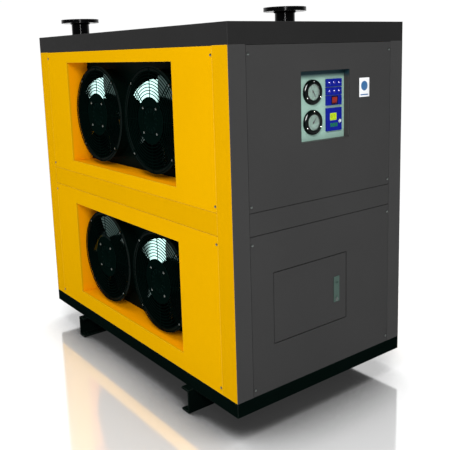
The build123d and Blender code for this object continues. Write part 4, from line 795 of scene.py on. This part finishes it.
def hood(shape, middle, z):
    """Pressed hood, open below: a quarter-round section that flattens towards both ends."""
    section, ends = 6, 10
    outer, inner = [], []
    for index in range(ends + 1):
        s = 2 * index / ends - 1
        swell = (1 - abs(s) ** 10) ** 0.5
        for step in range(section + 1):
            turn = math.radians(90 * step / section)
            x = HOOD_PROUD * swell * math.cos(turn)
            up = -HOOD_RISE * 0.5 + (HOOD_RISE * 1.05) * math.sin(turn)
            outer.append((INTAKE_FACE + x, middle + s * HOOD_HALF, z + up))
            inner.append((INTAKE_FACE + max(x - HOOD_SHEET, -0.0004), middle + s * (HOOD_HALF - HOOD_SHEET),
                          z + up - HOOD_SHEET * math.sin(turn)))
    width = section + 1
    count = len(outer)
    rim = [[a, a + width, count + a + width, count + a] for a in range(0, ends * width, width)]
    shape.add(outer + inner, sheet_faces(ends, section) + rim)


def louvre_hoods():
    shape = Shape()
    for low, high in PANEL_SPANS:
        rows = int((high - low - 0.140) / HOOD_PITCH) + 1
        first = (low + high) / 2 - HOOD_PITCH * (rows - 1) / 2
        for row in range(rows):
            for middle in HOOD_COLUMNS:
                hood(shape, middle, first + row * HOOD_PITCH)
    return shape


fix("louvre_hoods", louvre_hoods(), ["yellow_paint"], "yellow_paint", crease=40)


# Pressure gauges

TEXT_DEPTH = 0.00005


def text_mesh(words, size):
    curve = bpy.data.curves.new("figures", "FONT")
    set_all(curve, body=words, size=size, align_x="CENTER", align_y="CENTER", extrude=TEXT_DEPTH,
            resolution_u=3)
    made = add_object("figures", curve)
    bpy.context.view_layer.update()
    mesh = bpy.data.meshes.new_from_object(made.evaluated_get(bpy.context.evaluated_depsgraph_get()))
    verts = [vert.co.copy() for vert in mesh.vertices]
    faces = [list(face.vertices) for face in mesh.polygons]
    bpy.data.objects.remove(made)
    return verts, faces


def control_axes(x, z, depth):
    return axes(Vector((x, CONTROL_FACE + depth, z)), (1, 0, 0), (0, 0, 1), (0, -1, 0))


def gauge_axes(row, depth):
    x, _, z = JOINTS[f"{row}_needle_turn"]["pos_m"]
    return control_axes(x, z, depth)


def gauge_mesh():
    """Case with its rolled bezel; local z = 0 is the bezel's front."""
    shape = Shape()
    profile = [(0.0300, -0.0075), (0.0302, -0.0012), (0.0318, -0.0002), (0.0345, 0.0), (0.0400, -0.0004),
               (0.0440, -0.0016), (0.0465, -0.0040), (0.0475, -0.0070), (0.0475, -0.0125), (0.0462, -0.0138),
               (0.0330, -0.0140), (0.0330, -0.0495), (0.0300, -0.0500), (0.0080, -0.0500), (0.0080, -0.0690),
               (0.0060, -0.0700), (0.0, -0.0700)]
    shape.lathe(profile, 96, closed=False)
    shape.lathe([(0.0300, -0.0075), (0.0300, -0.0465), (0.0, -0.0465)], 96, closed=False)
    for turn in (90, 210, 330):
        x, y, _ = arc(0.0405, turn, turn, 1)[0]
        start = len(shape.faces)
        pan_head(shape, Matrix.Translation((x, y, -0.0006)) @ spin(turn + 20), 0.0024, 0.0014)
        shape.numbers[start:] = [1] * (len(shape.faces) - start)
    return shape.mesh("gauge", ["gauge_black", "screw_steel"])


SCALE_START, SCALE_SWEEP = 225, 270
INK = 0.0001


def ring_strip(inner, outer, start, end, steps):
    faces = [[i, i + 1, steps + 2 + i, steps + 1 + i] for i in range(steps)]
    return arc(inner, start, end, steps, INK) + arc(outer, start, end, steps, INK), faces


def dial_mesh(row, labels):
    """Enamel plate with its scale; local z = 0 is the face."""
    shape = Shape()
    shape.lathe([(0.00125, 0.0), (0.0298, 0.0), (0.0300, -0.0002), (0.0300, -0.0012), (0.00125, -0.0012)],
                72)
    divisions = 50
    for mark in range(divisions + 1):
        turn = SCALE_START - SCALE_SWEEP * mark / divisions
        long = mark % 10 == 0
        half_width = 0.0003 if long else 0.00014
        inner = 0.0222 if long else (0.0240 if mark % 5 == 0 else 0.0250)
        shape.slab((inner, -half_width, 0.0), (0.0268, half_width, INK), 0.0, 1, spin(turn))
    shape.add(*ring_strip(0.0268, 0.0272, SCALE_START, SCALE_START - SCALE_SWEEP, 60), 1)
    for index, words in enumerate(labels):
        turn = SCALE_START - SCALE_SWEEP * index / (len(labels) - 1)
        verts, faces = text_mesh(words, 0.0052)
        x, y, _ = arc(0.0182, turn, turn, 1)[0]
        shape.add(verts, faces, 1, Matrix.Translation((x, y, 0.00008)))
    return shape.mesh(f"dial_{row}", ["dial_face", "dial_ink"])


def needle_mesh():
    """Tapered pointer with its tail, boss and spindle, pointing along local +y."""
    shape = Shape()
    outline = [(-0.0015, 0.0), (-0.0011, 0.012), (-0.0002, 0.0228), (0.0002, 0.0228), (0.0011, 0.012),
               (0.0015, 0.0), (0.0014, -0.005), (0.0022, -0.0078), (0.0, -0.0088), (-0.0022, -0.0078),
               (-0.0014, -0.005)]
    count = len(outline)
    verts = [(x, y, 0.0004) for x, y in outline] + [(x, y, -0.0004) for x, y in outline]
    faces = [list(range(count))[::-1], [count + i for i in range(count)]]
    faces += [[i, (i + 1) % count, (i + 1) % count + count, i + count] for i in range(count)]
    shape.add(verts, faces)
    shape.lathe([(0.0, 0.0010), (0.0022, 0.0010), (0.0033, 0.0004), (0.0035, -0.0008), (0.0012, -0.0010),
                 (0.0012, -0.0100), (0.0, -0.0100)], 32, 0, closed=False)
    return shape.mesh("needle", ["needle_black"])


NEEDLE_TURNS = {"upper": 150.0, "lower": 38.0}
LABEL_STEPS = {"upper": 4, "lower": 2}
gauge = gauge_mesh()
needle = needle_mesh()
for row in ("upper", "lower"):
    first = row == "upper"
    labels = [str(index * LABEL_STEPS[row]) for index in range(6)]
    place(f"gauge_{row}", gauge, "cabinet", gauge_axes(row, 0.015), ["gauge_cases"] if first else (),
          "gauge_black")
    place(f"dial_{row}", dial_mesh(row, labels), "cabinet", gauge_axes(row, 0.022),
          ["gauge_dials"] if first else (), "dial_face")
    turned = gauge_axes(row, 0.0201) @ spin(-NEEDLE_TURNS[row])
    place(f"needle_{row}", needle, f"{row}_needle", turned, [f"{row}_gauge_needle"], "needle_black")


# Indicator lamps, switch frame, display figures and the button's ring

MODULE_DEPTH = 0.021
LAMP_COLUMNS, LAMP_ROWS = (0.048, 0.074, 0.100), (1.292, 1.2595)
lamps = Shape()
dome = [(0.0, 0.0034)]
for degrees in range(15, 91, 15):
    turn = math.radians(degrees)
    dome.append((0.0046 * math.sin(turn), 0.0006 + 0.0028 * math.cos(turn)))
dome += [(0.0048, 0.0), (0.0048, -0.006), (0.0, -0.006)]
collar = [(0.0049, -0.0004), (0.0050, 0.0009), (0.0058, 0.0012), (0.0066, 0.0008), (0.0068, -0.0001),
          (0.0068, -0.0004)]
for z in LAMP_ROWS:
    for x in LAMP_COLUMNS:
        lamps.lathe(dome, 32, 0, control_axes(x, z, MODULE_DEPTH), closed=False)
        lamps.lathe(collar, 32, 1, control_axes(x, z, MODULE_DEPTH))
fix("lamp_lenses", lamps, ["lens_clear", "module_blue"], "lens_clear", ["indicator_lenses"])

rim = Shape()
rocker_low, rocker_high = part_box("rocker_switch")
centre_x = (rocker_low.x + rocker_high.x) / 2
at = control_axes(centre_x, JOINTS["rocker_tip"]["pos_m"][2], MODULE_DEPTH)
inner_x, inner_z = 0.0136, 0.0126
outer_x, outer_z = 0.0172, 0.0162
for low, high in (((-outer_x, -outer_z), (-inner_x, outer_z)), ((inner_x, -outer_z), (outer_x, outer_z)),
                  ((-inner_x, -outer_z), (inner_x, -inner_z)), ((-inner_x, inner_z), (inner_x, outer_z))):
    rim.slab((*low, 0.0), (*high, 0.0016), 0.0006, 0, at)
fix("rocker_frame", rim, ["gauge_black"], "gauge_black")

digits = Shape()
display_low, display_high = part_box("controller_display")
display_middle = (display_low + display_high) / 2
at = control_axes(display_middle.x, display_middle.z, display_low.y - CONTROL_FACE)
SEGMENTS = {"0": "abcdef", "2": "abged", "3": "abgcd"}
WIDE, TALL, THICK, GAP = 0.0042, 0.0100, 0.0010, 0.0003
FIGURE_PITCH, DASH_PITCH = 0.0085, 0.0048


def figure(shape, glyph, x, y, at):
    """Seven-segment figure centred on (x, y)."""
    half_w, half_t = WIDE / 2, TALL / 2
    bars = {
        "a": ((-half_w, half_t), (half_w, half_t)), "g": ((-half_w, 0), (half_w, 0)),
        "d": ((-half_w, -half_t), (half_w, -half_t)), "b": ((half_w, half_t), (half_w, 0)),
        "c": ((half_w, 0), (half_w, -half_t)), "e": ((-half_w, 0), (-half_w, -half_t)),
        "f": ((-half_w, half_t), (-half_w, 0)),
    }
    for segment in SEGMENTS[glyph]:
        (x0, y0), (x1, y1) = bars[segment]
        wider = THICK / 2 if y0 != y1 else -GAP
        taller = THICK / 2 if x0 != x1 else -GAP
        low = (x + min(x0, x1) - wider, y + min(y0, y1) - taller, 0)
        high = (x + max(x0, x1) + wider, y + max(y0, y1) + taller, INK)
        shape.slab(low, high, 0.0, 0, at)


for index, glyph in enumerate("023"):
    figure(digits, glyph, -0.0105 + index * FIGURE_PITCH, 0.0018, at)
for index in range(6):
    start = -0.0135 + index * DASH_PITCH
    digits.slab((start, -0.0102, 0.0), (start + 0.0025, -0.0088, INK), 0.0, 0, at)
fix("display_figures", digits, ["display_ink"])

ring = Shape()
button_low, button_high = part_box("start_button")
at = control_axes((button_low.x + button_high.x) / 2, (button_low.z + button_high.z) / 2, MODULE_DEPTH)
ring.lathe([(0.0065, 0.0), (0.0066, 0.0008), (0.0074, 0.0012), (0.0084, 0.0008), (0.0086, 0.0)], 48, 0, at)
fix("button_ring", ring, ["lock_chrome"], "lock_chrome")


# Pipework details: grooved flange faces, weld beads and rubber edging in the cover

FLANGE_THICK = 0.018
GROOVES, GROOVE_PITCH = 12, 0.0017
beads = Shape()
flange_faces = Shape()
edging = Shape()
flange_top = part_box("pipe_flanges")[1].z
cover_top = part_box("top_cover")[1].z
for name in ("inlet", "outlet"):
    mount = next(m for m in frame["record"]["mounts"] if m["name"] == f"{name}_flange_bolts")
    x, y, _ = mount["pos_m"]
    bottom = Matrix.Translation((x, y, flange_top - FLANGE_THICK))
    beads.lathe([(0.0440, -0.007), (0.0465, -0.0065), (0.0500, -0.0030), (0.0515, 0.0002), (0.0440, 0.0002)],
                64, 0, bottom)
    groove = [(0.0452, -0.0002)]
    for number in range(GROOVES):
        radius = 0.0456 + number * GROOVE_PITCH
        groove += [(radius, 0.0006), (radius + 0.0011, 0.0006), (radius + 0.0014, 0.0002)]
    groove += [(0.0660, 0.0004), (0.0664, -0.0002)]
    flange_faces.lathe(groove, 72, 0, Matrix.Translation((x, y, flange_top)))
    edging.lathe([(0.0446, 0.0025), (0.0460, 0.0035), (0.0490, 0.0030), (0.0495, 0.0002), (0.0463, 0.0001),
                  (0.0463, -0.0022), (0.0490, -0.0022), (0.0490, -0.0040), (0.0446, -0.0040)],
                 64, 0, Matrix.Translation((x, y, cover_top)))
fix("pipe_beads", beads, ["flange_paint"], "flange_paint")
fix("flange_faces", flange_faces, ["flange_paint"], "flange_paint", crease=20)
fix("pipe_edging", edging, ["mount_rubber"], "mount_rubber")


# Hexagon bolts that hold the base to the skids

WASHER, HEAD_RADIUS, HEAD_HEIGHT = 0.0024, 0.0095, 0.0075
BOLT_PLACES = (-0.425, -0.15, 0.15, 0.425)
BOLT_INSET = 0.027
LEDGE_DROP = 0.008


def hex_bolt(shape, at):
    """Washer and chamfered head, standing along local +z."""
    shape.lathe([(0.0, 0.0), (0.0125, 0.0), (0.0130, 0.0006), (0.0130, 0.0018), (0.0125, WASHER),
                 (0.0, WASHER)], 32, 0, at, closed=False)
    corners = arc(HEAD_RADIUS, 0, 300, 5)
    low = [(x, y, WASHER) for x, y, _ in corners]
    high = [(x, y, WASHER + HEAD_HEIGHT * 0.85) for x, y, _ in corners]
    cap = [(x * 0.86, y * 0.86, WASHER + HEAD_HEIGHT) for x, y, _ in corners]
    faces = [[i, (i + 1) % 6, (i + 1) % 6 + 6, i + 6] for i in range(6)]
    faces += [[6 + i, 6 + (i + 1) % 6, 12 + (i + 1) % 6, 12 + i] for i in range(6)]
    faces.append([12, 13, 14, 15, 16, 17])
    shape.add(low + high + cap, faces, 0, at)


bolts = Shape()
down = axes(Vector((0, 0, 0)), (1, 0, 0), (0, -1, 0), (0, 0, -1))
for name in ("front_skid", "rear_skid"):
    low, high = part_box(name)
    y = low.y + BOLT_INSET if name == "front_skid" else high.y - BOLT_INSET
    for x in BOLT_PLACES:
        hex_bolt(bolts, Matrix.Translation((x, y, high.z - LEDGE_DROP)) @ down)
fix("skid_bolts", bolts, ["screw_steel"], "screw_steel")


# Blank sticker with a plain coloured disc

STICKER_X, STICKER_Z = 0.221, 1.2665
sticker = Shape()
at = control_axes(STICKER_X, STICKER_Z, 0.0)
sticker.slab((-0.029, -0.0375, 0.0), (0.029, 0.0375, 0.0004), 0.0001, 0, at)
sticker.lathe([(0.0, 0.00055), (0.0185, 0.00055), (0.0190, 0.0004), (0.0190, 0.0)], 48, 1,
              at @ Matrix.Translation((0, 0.006, 0)), closed=False)
sticker.slab((-0.022, -0.0310, 0.0002), (0.022, -0.0265, 0.0005), 0.0, 1, at)
fix("blank_sticker", sticker, ["label_white", "label_blue"])


# Stage, lights and camera

WHITE = (1, 1, 1, 1)
BACKDROP = 1.02
FLOOR_REACH = 60.0
NEAR, FAR = 1.6, 4.0
OPEN_LOW, OPEN_HIGH = 0.42, 0.78


def floor():
    """White sheet: half glossy near the object, with a contact shadow painted into its colour from ambient
    occlusion, and plain white further out.
    """
    material = bpy.data.materials.new("floor_white")
    material.use_nodes = True
    tree = material.node_tree
    link = tree.links.new
    tree.nodes.clear()
    diffuse = node(tree, "ShaderNodeBsdfDiffuse")
    gloss = node(tree, "ShaderNodeBsdfGlossy", {"Color": WHITE, "Roughness": 0.09})
    mix = node(tree, "ShaderNodeMixShader", {0: 0.5})
    sheet = node(tree, "ShaderNodeEmission", {"Color": WHITE, "Strength": BACKDROP})
    fade = node(tree, "ShaderNodeMixShader")
    reach_from = node(tree, "ShaderNodeVectorMath", operation="LENGTH")
    end = node(tree, "ShaderNodeOutputMaterial")
    link(node(tree, "ShaderNodeTexCoord").outputs["Object"], reach_from.inputs[0])
    link(spread(tree, reach_from.outputs["Value"], 0.03, 1, NEAR, FAR), fade.inputs[0])
    # Painted contact shadow: ambient occlusion darkens the floor's colour near and under the object.
    painted_contact_shadow = node(tree, "ShaderNodeAmbientOcclusion", {"Distance": 0.5}, samples=20)
    link(spread(tree, painted_contact_shadow.outputs["AO"], 0.03, 0.97, OPEN_LOW, OPEN_HIGH), diffuse.inputs["Color"])
    link(diffuse.outputs[0], mix.inputs[1])
    link(gloss.outputs[0], mix.inputs[2])
    link(mix.outputs[0], fade.inputs[1])
    link(sheet.outputs[0], fade.inputs[2])
    link(fade.outputs[0], end.inputs[0])
    mesh = bpy.data.meshes.new("floor")
    corners = [(x * FLOOR_REACH, y * FLOOR_REACH, 0) for x, y in ((-1, -1), (1, -1), (1, 1), (-1, 1))]
    mesh.from_pydata(corners, [], [[0, 1, 2, 3]])
    mesh.materials.append(material)
    made = add_object("floor", mesh)
    made.location.z = -0.0005


def area(name, location, target, size, strength):
    """Square-cornered softbox of a given radiance."""
    data = bpy.data.lights.new(name, "AREA")
    data.shape = "RECTANGLE"
    data.size, data.size_y = size
    data.energy = strength * size[0] * size[1] * math.pi
    toward = (Vector(target) - Vector(location)).to_track_quat("-Z", "Y")
    made = add_object(name, data)
    return set_all(made, location=location, rotation_mode="QUATERNION", rotation_quaternion=toward)


def linked_light(name, location, target, size, strength, pieces, lit=False):
    """Light that only the given pieces mirror, or are lit by."""
    receivers = bpy.data.collections.new(f"{name}_receivers")
    for made in list(SCENE.objects):
        if made.name.startswith(pieces):
            receivers.objects.link(made)
    made = area(name, location, target, size, strength)
    made.visible_diffuse = lit
    made.visible_glossy = not lit
    made.light_linking.receiver_collection = receivers


def world():
    """Plain white to the camera, dimmer overhead to matt faces, and to mirrors brighter past the object."""
    made = bpy.data.worlds.new("studio")
    SCENE.world = made
    made.use_nodes = True
    tree = made.node_tree
    link = tree.links.new
    tree.nodes.clear()
    direction = node(tree, "ShaderNodeTexCoord").outputs["Generated"]
    band = spread(tree, coordinate(tree, direction, "Z"), 0.5, 0.3, 0.35, 0.75)
    path = node(tree, "ShaderNodeLightPath")
    ahead = node(tree, "ShaderNodeVectorMath", {1: (0.6, 0.8, 0.0)}, operation="DOT_PRODUCT")
    link(direction, ahead.inputs[0])
    mirrored = spread(tree, ahead.outputs["Value"], 0.12, 0.95, 0.2, 0.6)
    soft = blend(tree, path.outputs["Is Glossy Ray"], band, mirrored, "FLOAT")
    shown = blend(tree, path.outputs["Is Camera Ray"], soft, BACKDROP, "FLOAT")
    light = node(tree, "ShaderNodeBackground", {"Color": WHITE})
    end = node(tree, "ShaderNodeOutputWorld")
    link(shown, light.inputs["Strength"])
    link(light.outputs[0], end.inputs[0])


floor()
world()
CENTRE = (Vector(CAD_BOX[0]) + Vector(CAD_BOX[1])) / 2
linked_light("upper_blade_softbox", (-3.15, 1.35, 1.85), (FAN_FACE, 0.0, 1.15), (1.5, 1.1), 16.0,
             "impeller_upper")
linked_light("lower_blade_softbox", (-3.15, 0.8, 0.45), (FAN_FACE, 0.0, 0.46), (0.9, 0.85), 16.0,
             "impeller_lower_front")
linked_light("bezel_strip", (-1.5, -2.4, 2.6), (0.0, -0.8, 1.2), (2.2, 1.8), 110.0,
             ("gauge_upper", "gauge_lower", "lamp_lenses"))
linked_light("recess_fill", (-1.9, -3.4, 0.75), (FAN_FACE, 0.4, 0.85), (0.8, 1.2), 10.0,
             ("fan_side_upper_panel", "fan_side_lower_panel"), True)
linked_light("pipe_strip", (-2.2, -3.4, 1.75), (-0.1, 0.2, 1.55), (0.16, 1.4), 60.0,
             ("inlet_pipe", "outlet_pipe", "pipe_flanges", "pipe_beads"))
area("key", (-2.6, -3.4, 3.1), CENTRE, (0.5, 1.6), 50.0).visible_glossy = False
area("fan_fill", (-4.4, 1.5, 1.5), CENTRE, (2.5, 2.5), 2.9).visible_glossy = False
sun = bpy.data.lights.new("overhead", "SUN")
sun.energy = 2.6
sun.angle = math.radians(60)
add_object("overhead", sun).visible_glossy = False

EYE = Vector((-1.8052, -2.5650, 1.4209))
AZIMUTH, PITCH_DOWN, ROLL = (math.radians(a) for a in (36.94, 9.91, -1.74))
LENS, SHIFT_Y = 53.05, -0.1277
level = math.cos(PITCH_DOWN)
forward = Vector((math.sin(AZIMUTH) * level, math.cos(AZIMUTH) * level, -math.sin(PITCH_DOWN)))
level_right = Vector((math.cos(AZIMUTH), -math.sin(AZIMUTH), 0))
level_up = level_right.cross(forward)
right = level_right * math.cos(ROLL) + level_up * math.sin(ROLL)
up = level_up * math.cos(ROLL) - level_right * math.sin(ROLL)
camera_data = bpy.data.cameras.new("camera")
set_all(camera_data, lens=LENS, sensor_width=36.0, shift_y=SHIFT_Y, clip_end=500.0)
camera = add_object("camera", camera_data)
camera.matrix_world = axes(EYE, right, up, -forward)
SCENE.camera = camera
SCENE.view_settings.view_transform = "Standard"
